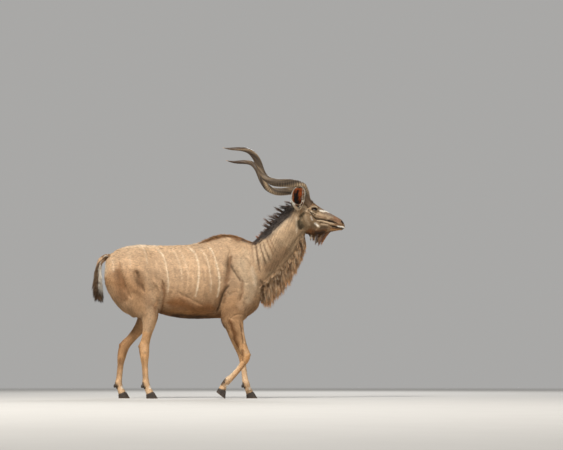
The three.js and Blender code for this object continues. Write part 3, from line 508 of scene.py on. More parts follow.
def edges_of(mesh):
    return fetched(mesh.edges, "vertices", 2, np.int32)


def relaxed(points, edges, share, times=1):
    """Points drawn towards the middle of their neighbours by a share, which may differ between points."""
    ends, others = (np.concatenate([edges[:, i], edges[:, 1 - i]]) for i in (0, 1))
    size = len(points)
    count = np.maximum(np.bincount(ends, minlength=size), 1)
    for _ in range(times):
        sums = [np.bincount(ends, weights=points[others, c], minlength=size) / count for c in range(3)]
        points = points + np.reshape(share, (-1, 1)) * (np.stack(sums, -1) - points)
    return points


@contextmanager
def edited(mesh):
    """A mesh opened for cutting, and put back."""
    bm = bmesh.new()
    bm.from_mesh(mesh)
    yield bm
    bm.to_mesh(mesh)
    bm.free()
    mesh.update()


def tree_of(points):
    """A tree that finds the nearest of the points."""
    tree = KDTree(len(points))
    for i, point in enumerate(points):
        tree.insert(point, i)
    tree.balance()
    return tree


def split(mesh, chosen):
    """Cuts each edge whose two ends are chosen in half, and its faces with it."""
    inside = set(np.flatnonzero(chosen).tolist())
    with edited(mesh) as bm:
        edges = [e for e in bm.edges if e.verts[0].index in inside and e.verts[1].index in inside]
        bmesh.ops.subdivide_edges(bm, edges=edges, cuts=1, use_grid_fill=True)


def add_attribute(mesh, name, kind, values):
    attribute = mesh.attributes.get(name) or mesh.attributes.new(name, kind, "POINT")
    key = {"FLOAT": "value", "FLOAT_VECTOR": "vector", "FLOAT_COLOR": "color"}[kind]
    values = np.asarray(values, np.float32)
    if kind == "FLOAT_COLOR":
        values = np.concatenate([values, np.ones((len(values), 1), np.float32)], axis=1)
    attribute.data.foreach_set(key, values.ravel())


def show(name, mesh, slot, material, *replaced):
    """The finished piece: its object, on the body; the slot is not used."""
    piece = bpy.data.objects.new(name, mesh)
    bpy.context.scene.collection.objects.link(piece)
    mesh.materials.append(material)
    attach(piece, "root")
    if replaced:
        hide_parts(*replaced)
    return piece


# Ears.
def ear_frame(side):
    """The ways up the ear, out of its open side and forwards across it, and its root."""
    up = unit((-0.02, 0.6, 0.8))
    open_way = np.array((0.34, 0.94, -0.2))
    open_way = unit(open_way - up * (open_way @ up))
    fore = unit(np.cross(up, open_way))
    if fore[0] < 0:
        fore = -fore
    flip = np.array((1, side, 1))
    return up * flip, open_way * flip, fore * flip, np.array(EAR["root"]) * flip


def ear_half(s):
    """Half the ear's width at shares of its length."""
    return EAR["half"] * mix(0.32, 1, smooth(s, 0.05, 0.58)) * np.sqrt(1 - smooth(s, 0.6, 1) ** 2.4)


def ear_point(side, s, t, inset, size):
    """A point of the ear: s from root to tip, t round the cup, set in from its outer face by a depth."""
    up, open_way, fore, root = ear_frame(side)
    half = ear_half(s)
    deep = mix(22, 38, smooth(s, 0.05, 0.5)) * np.sqrt(1 - s**2.6)
    angle = t * mix(np.pi, 1.72, smooth(s, 1 / 3, 0.55))
    slim = mix(0.5, 1, smooth(s, 0.02, 0.3))
    half, deep = (np.maximum(v * slim - inset, 0) * size for v in (half, deep))
    return (
        root
        + up * (s * EAR["length"])[..., None]
        + fore * (half * np.sin(angle) + 6 * smooth(s, 0.3, 1))[..., None]
        - open_way * (deep * np.cos(angle))[..., None]
    )


def ear_mesh(side, depth=1.2):
    """A closed, thin-walled cup on a closed root."""
    around, along, first = 36, 42, 14
    s = np.minimum(np.arange(along + 1) / along, 0.985)[:, None] + np.zeros(around + 1)
    t = (np.arange(around + 1) / around * 2 - 1)[None] + np.zeros((along + 1, 1))
    wall = mix(EAR["wall"], 2.6, smooth(s, 0.5, 1)) - depth
    size = np.sqrt(1 - (1 - np.clip((s * 12 - 4) / 3, 0, 1)) ** 2)
    outer = ear_point(side, s, t, depth, np.ones_like(s))
    inner = ear_point(side, s, t * 0.955, depth + wall, size)
    wide = around + 1
    at = lambda face, i, k: face * (along + 1) * wide + i * wide + k
    faces = []
    for i in range(along):
        for k in range(around):
            faces.append((at(0, i, k), at(0, i, k + 1), at(0, i + 1, k + 1), at(0, i + 1, k)))
            if i >= first:
                faces.append((at(1, i, k + 1), at(1, i, k), at(1, i + 1, k), at(1, i + 1, k + 1)))
        if i >= first:
            faces.append((at(0, i, around), at(1, i, around), at(1, i + 1, around), at(0, i + 1, around)))
            faces.append((at(1, i, 0), at(0, i, 0), at(0, i + 1, 0), at(1, i + 1, 0)))
    for k in range(around):
        faces.append((at(0, along, k), at(0, along, k + 1), at(1, along, k + 1), at(1, along, k)))
    points = np.concatenate([outer.reshape(-1, 3), inner.reshape(-1, 3)])
    mesh = bpy.data.meshes.new("ear_shape")
    mesh.from_pydata(points.tolist(), [], faces + [tuple(range(around))[::-1]])
    with edited(mesh) as bm:
        bmesh.ops.remove_doubles(bm, verts=bm.verts, dist=0.02)
        bmesh.ops.dissolve_degenerate(bm, edges=bm.edges, dist=0.01)
        bmesh.ops.recalc_face_normals(bm, faces=bm.faces)
        bmesh.ops.delete(bm, geom=[v for v in bm.verts if not v.link_faces], context="VERTS")
    return mesh


def joined(mesh, others):
    """The union of a closed mesh with others."""
    base, *tools = (bpy.data.objects.new("union", part) for part in (mesh, *others))
    for part in (base, *tools):
        bpy.context.scene.collection.objects.link(part)
    for tool in tools:
        union = base.modifiers.new("union", "BOOLEAN")
        union.operation = "UNION"
        union.solver = "MANIFOLD"
        union.object = tool
    result = bpy.data.meshes.new_from_object(base.evaluated_get(bpy.context.evaluated_depsgraph_get()))
    for part in (base, *tools):
        bpy.data.objects.remove(part)
    return result


# The middle lines of the body's parts, for the lie of the hair and for unwraps.
def line_of(table):
    rows = fill(list(table.values()), 2)
    share = rows[:, 5]
    middle = np.stack([mix(rows[:, 2], rows[:, 0], share), 0 * share, mix(rows[:, 3], rows[:, 1], share)], -1)
    tall = np.hypot(rows[:, 0] - rows[:, 2], rows[:, 1] - rows[:, 3]) / 2
    return middle, rows[:, 4], tall


def limb_line(rows, side):
    rows = np.array(rows, float)
    return rows[:, :3] * (1, side, 1), rows[:, 5], (rows[:, 3] + rows[:, 4]) / 2


class Axis:
    """A middle line with its radii across (along y) and in depth; lie tells which way the hair runs on it."""

    def __init__(self, middle, wide, deep, lie):
        self.middle, self.wide, self.deep, self.lie = middle, wide, deep, lie
        steps = np.linalg.norm(np.diff(middle, axis=0), axis=1)
        self.run = np.concatenate([[0], np.cumsum(steps)])

    def place(self, points, reach=380):
        """Where each point lies along and round the line; points out of reach count as far away."""
        held = in_box(points, self.middle.min(0) - reach, self.middle.max(0) + reach)
        found = self.place_near(points[held])
        out = {"near": np.full(len(points), 9.0)}
        out["near"][held] = found.pop("near")
        for key, values in found.items():
            out[key] = np.zeros((len(points), *values.shape[1:]))
            out[key][held] = values
        return out

    def place_near(self, points):
        best = np.full(len(points), np.inf)
        along = np.zeros(len(points))
        for i in range(len(self.middle) - 1):
            a, step = self.middle[i], self.middle[i + 1] - self.middle[i]
            t = np.clip((points - a) @ step / max(step @ step, 1e-9), 0, 1)
            away = np.linalg.norm(points - a - t[:, None] * step, axis=1)
            closer = away < best
            best[closer] = away[closer]
            along[closer] = (i + t)[closer]
        i = np.clip(along.astype(int), 0, len(self.middle) - 2)
        t = along - i
        between = lambda values: mix(values[i], values[i + 1], t if values.ndim == 1 else t[:, None])
        way = unit(between(unit(np.gradient(self.middle, axis=0))))
        off = points - between(self.middle)
        square = np.stack([-way[:, 2], 0 * way[:, 0], way[:, 0]], -1)
        up = (off * square).sum(1)
        wide, deep = between(self.wide), between(self.deep)
        length = np.interp(along, np.arange(len(self.run)), self.run)
        beyond = np.maximum(np.linalg.norm(off, axis=1) / np.maximum(wide, deep) - 1.6, 0)
        return {
            "share": length / self.run[-1],
            "length": length,
            "near": np.hypot(off[:, 1] / wide, up / deep) + beyond,
            "way": way * self.lie,
            "angle": np.arctan2(up, off[:, 1]),
            "off": np.stack([off[:, 1], up], -1),
            "height": np.clip(up / deep, -1.5, 1.5),
        }


def ear_axis(side):
    s = np.linspace(0.12, 1, 8)
    up, _, _, root = ear_frame(side)
    return Axis(root + up * (s * EAR["length"])[:, None], np.full(8, 42.0), np.full(8, 42.0), 1)


def body_axes():
    """The middle line of each region."""
    axes = {"trunk": Axis(*line_of(TRUNK), -1), "head": Axis(*line_of(HEAD), -1)}
    for name, (rows, side) in LEGS.items():
        axes[name] = Axis(*limb_line(rows, side), 1)
    axes["tail"] = Axis(*limb_line(TAIL_ROWS, 1), 1)
    for name, side in SIDES.items():
        axes["ear_" + name] = ear_axis(side)
    return axes


REGIONS = ["trunk", "head", *LEGS, "tail", "ear_right", "ear_left"]

# How much of a mark the skin takes that faces each way, from its normals and how far right or left it is.
FACINGS = {
    "any": lambda n, y: np.ones(len(n)),
    "side": lambda n, y: smooth(np.abs(n[:, 1]), 0.12, 0.55) * (n[:, 1] * y > 0),
    "inner": lambda n, y: smooth(-n[:, 1] * np.sign(y), 0.0, 0.5),
    "top": lambda n, y: smooth(n[:, 2], 0.0, 0.6),
    "under": lambda n, y: smooth(-n[:, 2], 0.0, 0.6),
}


class Places:
    """Points of the skin with their normals, in the part's millimetres, and how far marks cover them."""

    def __init__(self, points, normals):
        self.points, self.normals = points, normals

    def on_line(self, line, side, width, wobble):
        out = np.zeros(len(self.points))
        if not line:
            return out
        single = len(line) == 1
        line = np.array(line * 2, float) + [[0, 0], [0.01, 0]] if single else fill(line, 4)
        reach = 3.2 * width
        flat = self.points[:, [0, 2]]
        near = np.all((flat > line.min(0) - reach) & (flat < line.max(0) + reach), axis=1)
        if side:
            near &= self.points[:, 1] * side > -4
        picked = np.flatnonzero(near)
        if not len(picked):
            return out
        places = flat[picked]
        if wobble:
            sway = ripple(self.points[picked], width * 5, int(width * 7) + len(line))
            places = places + sway[:, None] * width * wobble
        away, share = near_line(places, line)
        taper = 1.0 if single else np.sqrt(np.clip(np.minimum(share, 1 - share) * 8, 0.05, 1))
        out[picked] = bell(away, 0, width * taper)
        return out

    def covered(self, mark, wobble=0.0):
        """How far a mark covers each point. Of two lines, the first is on the right side."""
        facing, width, _, *lines = mark
        sides = (0,) if len(lines) == 1 else (RIGHT, LEFT)
        cover = sum(self.on_line(line, side, width, wobble) for side, line in zip(sides, lines))
        return cover * FACINGS[facing](self.normals, self.points[:, 1])


class Hide(Places):
    """What the coat needs to know of the skin: a point's part, how its hair lies and how long it is."""

    def __init__(self, points, normals):
        super().__init__(points, normals)
        axes = body_axes()
        places = [axes[name].place(points) for name in REGIONS]
        near = np.stack([p["near"] for p in places])
        for i, name in enumerate(REGIONS):
            if name in LEGS:
                near[i] += 0.25 + 0.9 * smooth(points[:, 2], 860, 1240)
            if name.startswith("ear"):
                near[i] += 0.55
        self.region = near.argmin(0)
        weight = np.maximum(near, 0.05) ** -6.0
        weight /= weight.sum(0)
        way = sum(w[:, None] * p["way"] for w, p in zip(weight, places))
        flank = smooth(np.abs(normals[:, 1]), 0.2, 0.9) * weight[0]
        self.lie = squared(unit(way) + (0, 0, -0.42) * flank[:, None], normals)
        pick = lambda key: np.choose(self.region, [p[key] for p in places])
        self.share, self.length, self.angle = pick("share"), pick("length"), pick("angle")
        off = np.stack([p["off"] for p in places])[self.region, np.arange(len(points))]
        self.combed = np.concatenate([(self.length / 9)[:, None] + 900 * self.region[:, None], off], axis=1)
        self.leggy = weight[2:6].sum(0)
        self.height, self.head_height = places[0]["height"], places[1]["height"]
        x, z = points[:, 0], points[:, 2]
        trunk = np.interp(x, [300, 600], [1, 0.85])
        head = np.interp(x, [700, 800, 900, 1040], [0.72, 0.5, 0.4, 0.3])
        leg = np.interp(z, [60, 160, 320, 700, 1000], [0.5, 0.42, 0.55, 0.85, 1])
        self.size = sum(w * size for w, size in zip(weight, [trunk, head, *[leg] * 4, 0.7, 0.48, 0.48]))


# Marks: facing, width, value and points x and z, in millimetres seen from the side. Where there are two lists
# of points, the first is for the right side. Here the value is a depth, and out is positive.
BODY_CARVING = {
    "hip bone": ("side", 30, 9, [(-640, 1262)]),
    "hip hollow": ("side", 26, -6, [(-570, 1225), (-520, 1190)]),
    "seat bone": ("side", 24, 6, [(-936, 1170)]),
    "thigh groove": ("side", 19, -15, [(-706, 1085), (-676, 1010), (-648, 950), (-622, 900)]),
    "thigh muscle": ("side", 34, 6, [(-624, 1120), (-580, 1010), (-556, 930)]),
    "rear thigh groove": ("side", 15, -11, [(-850, 1170), (-830, 1060), (-790, 940), (-742, 850)]),
    "rear thigh muscle": ("side", 30, 5, [(-770, 1140), (-744, 1020), (-700, 900)]),
    "thigh front": ("side", 12, -12, [(-476, 1010), (-458, 916), (-470, 816), (-508, 690)]),
    "stifle fold": ("side", 15, 10, [(-545, 1000), (-500, 940), (-484, 880)]),
    "kneecap": ("side", 22, 9, [(-500, 866)]),
    "under kneecap": ("side", 12, -5, [(-520, 826), (-560, 790)]),
    "belly crease": ("side", 14, -6, [(-330, 900), (-281, 868), (-200, 828), (-128, 790)]),
    "blade edge": ("side", 15, -11, [(104, 1262), (100, 1180), (108, 1122), (143, 1070), (190, 990)]),
    "blade spine": ("side", 15, 7, [(76, 1290), (124, 1190), (176, 1080)]),
    "behind blade": ("side", 20, -9, [(-16, 1250), (-26, 1150), (-6, 1050)]),
    "elbow crease": ("side", 11, -16, [(98, 962), (50, 899), (14, 800), (-12, 738)]),
    "elbow fold": ("side", 14, 6, [(74, 900), (44, 820)]),
    "triceps": ("side", 42, 8, [(98, 1040), (104, 900)]),
    "upper arm": ("side", 36, 6, [(262, 980), (232, 860)]),
    "arm groove": ("side", 14, -9, [(206, 1010), (214, 920), (190, 830)]),
    "shoulder point": ("side", 30, 8, [(334, 922)]),
    "chest groove": ("side", 16, -8, [(366, 1020), (386, 940), (372, 880)]),
    "arm top line": ("side", 7, -4, [(128, 700), (160, 714), (200, 716), (240, 706)]),
    "jugular groove": ("side", 20, -8, [(400, 1010), (510, 1130), (620, 1270), (700, 1400)]),
    "neck muscle": ("side", 42, 5, [(330, 1190), (450, 1310), (600, 1490)]),
    "neck fold a": ("side", 6, -7, [(322, 1336), (334, 1240), (350, 1140), (362, 1080)]),
    "neck fold b": ("side", 5.5, -6.5, [(356, 1334), (380, 1245), (410, 1150), (426, 1096)]),
    "neck fold c": ("side", 5.5, -5.5, [(386, 1342), (414, 1256), (448, 1168)]),
    "neck fold d": ("side", 5.5, -5, [(412, 1374), (444, 1300), (480, 1224)]),
    "neck fold e": ("side", 5.5, -4.5, [(438, 1384), (468, 1316), (500, 1254)]),
    "neck fold f": ("side", 6, -3.5, [(288, 1320), (298, 1230), (304, 1150)]),
    "neck fold g": ("side", 5, -3, [(472, 1410), (500, 1350), (530, 1296)]),
    "shoulder slope": ("side", 24, -8, [(111, 1217), (90, 1086), (80, 980)]),
    "tail crease": ("side", 10, -6, [(-960, 1222), (-980, 1180), (-978, 1120)]),
    "flank cord": ("side", 12, 5, [(-600, 1226), (-500, 1160), (-440, 1060)]),
    "spine": ("top", 16, 4, [(-900, 1270), (-600, 1320), (-300, 1322)]),
}
RIBS = {
    "first": -90, "pitch": 44, "count": 8, "top": 1130, "bottom": 850, "lean": -62, "width": 12, "depth": 3.4,
}
LEG_CARVING = {
    "forearm line": (
        "side", 7, -6,
        [(192, 660), (206, 560), (216, 470), (206, 392)],
        [(170, 660), (178, 560), (184, 470), (180, 392)],
    ),
    "forearm muscle": (
        "side", 20, 5, [(120, 670), (158, 560), (180, 480)], [(100, 670), (128, 560), (148, 480)],
    ),
    "forearm front": (
        "side", 10, 3.5, [(214, 640), (226, 540), (236, 460)], [(186, 640), (194, 540), (202, 460)],
    ),
    "forearm rear": (
        "side", 8, -4, [(100, 620), (150, 480), (196, 392)], [(84, 620), (124, 480), (158, 392)],
    ),
    "knee": ("any", 16, 5, [(262, 380), (268, 362)], [(226, 382), (230, 362)]),
    "knee back": ("side", 8, -5, [(216, 410), (222, 360), (210, 310)], [(176, 410), (186, 360), (192, 310)]),
    "shin cord": ("any", 5, -4.6, [(196, 290), (152, 232), (110, 184)], [(202, 300), (212, 226), (220, 168)]),
    "hock cord": (
        "any", 9, -8, [(-622, 590), (-640, 530), (-650, 470)], [(-728, 600), (-782, 540), (-826, 488)],
    ),
    "hock point": ("any", 13, 6, [(-674, 446)], [(-858, 462)]),
    "hock bone": ("side", 14, 4, [(-626, 400)], [(-838, 408)]),
    "hock hollow": ("side", 8, -4, [(-650, 440), (-644, 400)], [(-858, 446), (-862, 404)]),
    "hind shin cord": (
        "any", 5, -4.6, [(-636, 350), (-632, 250), (-622, 150)], [(-856, 350), (-866, 250), (-878, 150)],
    ),
}
FACE_CREASE = [
    (784, 1608),
    (807, 1586),
    (823, 1563),
    (846, 1545),
    (869, 1540),
    (904, 1541),
    (935, 1532),
    (963, 1524),
    (1001, 1519),
    (1034, 1506),
]
FACE_CARVING = {
    "face crease": ("side", 5.5, -7.5, FACE_CREASE),
    "face ridge": ("side", 8, 3.6, [(806, 1606), (842, 1572), (880, 1556), (930, 1552), (990, 1536)]),
    "under crease": ("side", 7, 3, [(850, 1530), (900, 1527), (960, 1508)]),
    "second crease": ("side", 4.5, -4.5, [(872, 1519), (890, 1515), (912, 1509), (945, 1503)]),
    "cheek edge": ("side", 10, -7, [(836, 1558), (850, 1520), (842, 1450)]),
    "cheek muscle": ("side", 34, 5, [(788, 1522)]),
    "cheekbone": ("side", 9, 6, [(748, 1604), (790, 1597), (842, 1584)]),
    "temple pit": ("side", 14, -5, [(770, 1650), (764, 1626)]),
    "brow": ("side", 9, 7, [(796, 1652), (828, 1659), (862, 1647)]),
    "tear groove": ("side", 5, -5, [(857, 1616), (886, 1606), (924, 1586)]),
    "nose side": ("side", 9, -3.6, [(930, 1600), (990, 1568), (1040, 1542)]),
    "nose vein": ("side", 4, 1.6, [(900, 1590), (960, 1566), (1020, 1540)]),
    "lip bed": ("side", 15, 3.4, [(1044, 1506)]),
    "jaw line": ("side", 9, 3.6, [(750, 1450), (820, 1430), (900, 1432), (980, 1450)]),
    "jaw hollow": ("side", 12, -4, [(880, 1470), (930, 1478)]),
    "chin groove": ("side", 6, -3, [(985, 1476), (1020, 1462), (1060, 1462)]),
    "behind jaw": ("side", 17, -14, [(712, 1580), (706, 1505), (722, 1450)]),
    "ear root": ("side", 12, -5, [(748, 1612), (716, 1572), (680, 1560)]),
    "mouth": ("any", 2.8, -11, [(964, 1492), (1000, 1483), (1040, 1472), (1076, 1466), (1104, 1467)]),
    "upper lip": ("any", 6, 3.6, [(996, 1496), (1040, 1484), (1080, 1477), (1100, 1478)]),
    "lower lip": ("any", 4, 2.4, [(1000, 1474), (1040, 1463), (1070, 1458)]),
    "mouth corner": ("side", 6, -4, [(962, 1494)]),
    "nostril wing": ("side", 5, 2.6, [(1052, 1538), (1062, 1544), (1078, 1536)]),
}
NOSTRIL = {"places": ((10.45, 0.95), (11.0, 0.78), (11.4, 0.5), (10.95, 0.22)), "radius": 9.5, "deep": 17}
LIDS = {"wide": 21, "tear": 21, "above": 9, "below": 9.5, "thick": 2.8, "back": 3}


def rib_carving():
    """The ribs, as marks."""
    marks = {}
    for i in range(RIBS["count"]):
        x = RIBS["first"] - RIBS["pitch"] * i
        low = RIBS["bottom"] + 8 * i
        line = [(x, RIBS["top"]), (x - 12, mix(RIBS["top"], low, 0.5)), (x + RIBS["lean"] * 0.6, low)]
        marks[f"rib {i}"] = ("side", RIBS["width"], RIBS["depth"], line)
    return marks


def carve(mesh, marks):
    """Pushes the skin out or in by the depths of marks."""
    places = Places(points_of(mesh), normals_of(mesh))
    push = sum(mark[2] * places.covered(mark) for mark in marks.values())
    set_points(mesh, places.points + places.normals * push[:, None])


def nostril_line(side):
    """The line down the middle of a nostril."""
    rows = list(HEAD.values())
    line = np.concatenate([trunk_point(row_at(rows, [s]), a, HEAD_FORMS) for s, a in NOSTRIL["places"]])
    return fill(line * (1, side, 1), 4)


def open_nostrils(mesh):
    """Sinks the two nostrils and raises their rims."""
    for side in (RIGHT, LEFT):
        points, normals = points_of(mesh), normals_of(mesh)
        away, share = near_line(points, nostril_line(side))
        radius = NOSTRIL["radius"] * mix(0.55, 1, np.sin(np.pi * np.clip(share, 0.04, 0.96)) ** 0.5)
        pit = 1 - smooth(away, radius * 0.35, radius)
        rim = bell(away, radius * 1.15, 3.2)
        set_points(mesh, points + normals * (1.6 * rim - NOSTRIL["deep"] * pit)[:, None])


def eye_frame(side):
    """The ways out of, along and up the eye, and its middle."""
    flip = np.array((1, side, 1))
    look = unit(EYE["look"])
    fore = np.array((1, 0, EYE["slant"]))
    fore = unit(fore - look * (fore @ look))
    up = unit(np.cross(fore, look))
    up = up * np.sign(up[2])
    return look * flip, fore * flip, up * flip, np.array(EYE["at"], float) * flip


def eye_places(points, side):
    """How far points lie along and up the eye from its middle."""
    _, fore, up, at = eye_frame(side)
    return (points - at) @ fore, (points - at) @ up


def lid_line(a, b):
    """1 on the edge of the lids and less inside, for places along and up the eye."""
    a = a + LIDS["back"]
    wide = np.where(a > 0, LIDS["tear"], LIDS["wide"])
    high = np.where(b > 0, LIDS["above"], LIDS["below"])
    return np.sqrt((a / wide) ** 2 + (np.abs(b) / high) ** 1.74), high


def set_lids(mesh):
    """Draws the skin over each eyeball, folds it above and below, and opens an almond between the lids."""
    ball = EYE["radius"]
    over = ball + LIDS["thick"]
    for side in (RIGHT, LEFT):
        look, fore, up, at = eye_frame(side)
        points = points_of(mesh)
        a, b, c = (((points - at) * way).sum(1) for way in (fore, up, look))
        near = np.flatnonzero((c > -6) & (np.abs(a) < 52) & (np.abs(b) < 46))
        a, b, c = a[near], b[near], c[near]
        away = np.hypot(a * 0.92, b)
        dome = np.sqrt(np.maximum(over**2 - away**2, 9))
        c = mix(c, np.maximum(dome, c * 0.4), 1 - smooth(away, over * 0.82, over * 1.35))
        almond, high = lid_line(a, b)
        beyond = (almond - 1) * high
        c = c + 1.5 * bell(beyond, 1.6, 1.6)
        fold = np.where(b > 0, bell(beyond, 5.6, 1.5) * 2.6, bell(beyond, 5.2, 1.5) * 1.5)
        second = bell(beyond, 10.5, 2.2) * 1.5 * (b > 0)
        c = c - (fold + second) * (1 - smooth(np.abs(a), 20, 34))
        floor = np.sqrt(np.maximum(ball**2 - away**2, 0)) * 0.8 - 5
        c = mix(floor, c, smooth(almond, 0.86, 1.0))
        points[near] = at + a[:, None] * fore + b[:, None] * up + c[:, None] * look
        set_points(mesh, points)


def smooth_seams(mesh, known):
    """Rounds the skin along the lines where the ears were joined: points that neither shape had before."""
    points = points_of(mesh)
    before = tree_of(known)
    close = np.flatnonzero(in_box(points[:, ::2], *EAR_ROOTS))
    seam = np.array([points[i] for i in close if before.find(points[i])[2] > 0.05])
    if not len(seam):
        return
    lines = tree_of(seam)
    share = np.zeros(len(points))
    for i in close:
        share[i] = 0.6 * (1 - smooth(lines.find(points[i])[2], 6, 26))
    set_points(mesh, relaxed(points, edges_of(mesh), share, 22))


# Boxes of the head, low and high corner: as x and z, then as x, y and z.
EAR_ROOTS = (600, 1540), (800, 1760)
WIDE_EYES = (775, -130, 1585), (900, 130, 1685)
LIDS_BOX = (785, -130, 1600), (885, 130, 1672)
FACE_BOX = (900, -130, 1440), (1125, 130, 1600)
CHEEK_BOX = (770, -130, 1480), (901, 130, 1590)
MUZZLE_BOX = (955, -130, 1465), (1125, 130, 1562)
WHOLE_FACE = (770, -130, 1440), (1125, 130, 1690)


def skin_shape(coat):
    """The whole skin, finer where it is looked at more closely."""
    points, quads = body_surface(coat)
    mesh = mesh_of("skin", points, quads)
    set_points(mesh, relaxed(points_of(mesh), edges_of(mesh), 0.5, 3))
    a, b, c = points[quads[:, :3]].transpose(1, 0, 2)
    volume = np.einsum("ij,ij->i", a, np.cross(b, c)).sum()
    if volume < 0:
        mesh.flip_normals()
    carve(mesh, {**BODY_CARVING, **rib_carving()})
    split(mesh, points_of(mesh)[:, 0] > 690)
    points = points_of(mesh)
    set_points(mesh, relaxed(points, edges_of(mesh), 0.4 * smooth(points[:, 0], 680, 710), 2))
    ears = [ear_mesh(side) for side in (RIGHT, LEFT)]
    known = np.concatenate([points_of(m) for m in [mesh, *ears]])
    mesh = joined(mesh, ears)
    mesh.name = "skin"
    smooth_seams(mesh, known)
    points = points_of(mesh)
    eyes = in_box(points, *WIDE_EYES) & (np.abs(points[:, 1]) > 35)
    split(mesh, eyes | in_box(points, *FACE_BOX) | in_box(points, *CHEEK_BOX))
    points = points_of(mesh)
    finer = in_box(points, *LIDS_BOX) & (np.abs(points[:, 1]) > 45)
    share = 1.0 * (finer | in_box(points, *WHOLE_FACE))
    set_points(mesh, relaxed(points, edges_of(mesh), 0.35 * share, 2))
    split(mesh, finer | in_box(points, *MUZZLE_BOX))
    carve(mesh, {**LEG_CARVING, **FACE_CARVING})
    open_nostrils(mesh)
    set_lids(mesh)
    return mesh


# Colours of the coat, as marks whose value is a colour and its strength. The stripes are the coat's own; many
# of the other marks are painted shade in grooves, creases and hollows and where the skin faces down, and
# painted highlights on bulges and edges, as the comments among them say.
STRIPES = {
    "stripe 1": (
        "side", 4.6, ("cream", 0.9),
        [(-524, 1300), (-478, 1231), (-445, 1150), (-424, 1040), (-418, 960), (-424, 880)],
    ),
    "stripe 2": (
        "side", 5, ("cream", 0.95),
        [(-256, 1308), (-196, 1239), (-165, 1148), (-159, 1047), (-171, 936), (-184, 862)],
    ),
    "stripe 3": (
        "side", 5, ("cream", 0.95), [(-84, 1320), (-38, 1230), (0, 1118), (16, 1017), (12, 927), (-8, 850)],
    ),
    "stripe 4": (
        "side", 4.2, ("cream", 0.6), [(-165, 1305), (-100, 1209), (-70, 1097), (-56, 996), (-60, 890)],
    ),
    "stripe 5": ("side", 5, ("cream", 0.5), [(-634, 1290), (-614, 1210), (-602, 1140)]),
    "stripe 6": ("side", 4.2, ("cream", 0.4), [(-396, 1300), (-342, 1189), (-312, 1097), (-304, 1010)]),
    "stripe 7": ("side", 4.2, ("cream", 0.3), [(-336, 1296), (-282, 1168), (-252, 1077), (-246, 1000)]),
    "rump stripe": ("side", 6, ("cream", 0.35), [(-915, 1215), (-900, 1160), (-887, 1070)]),
    "rump stripe 2": ("side", 5, ("cream", 0.25), [(-770, 1268), (-752, 1190), (-744, 1110)]),
}
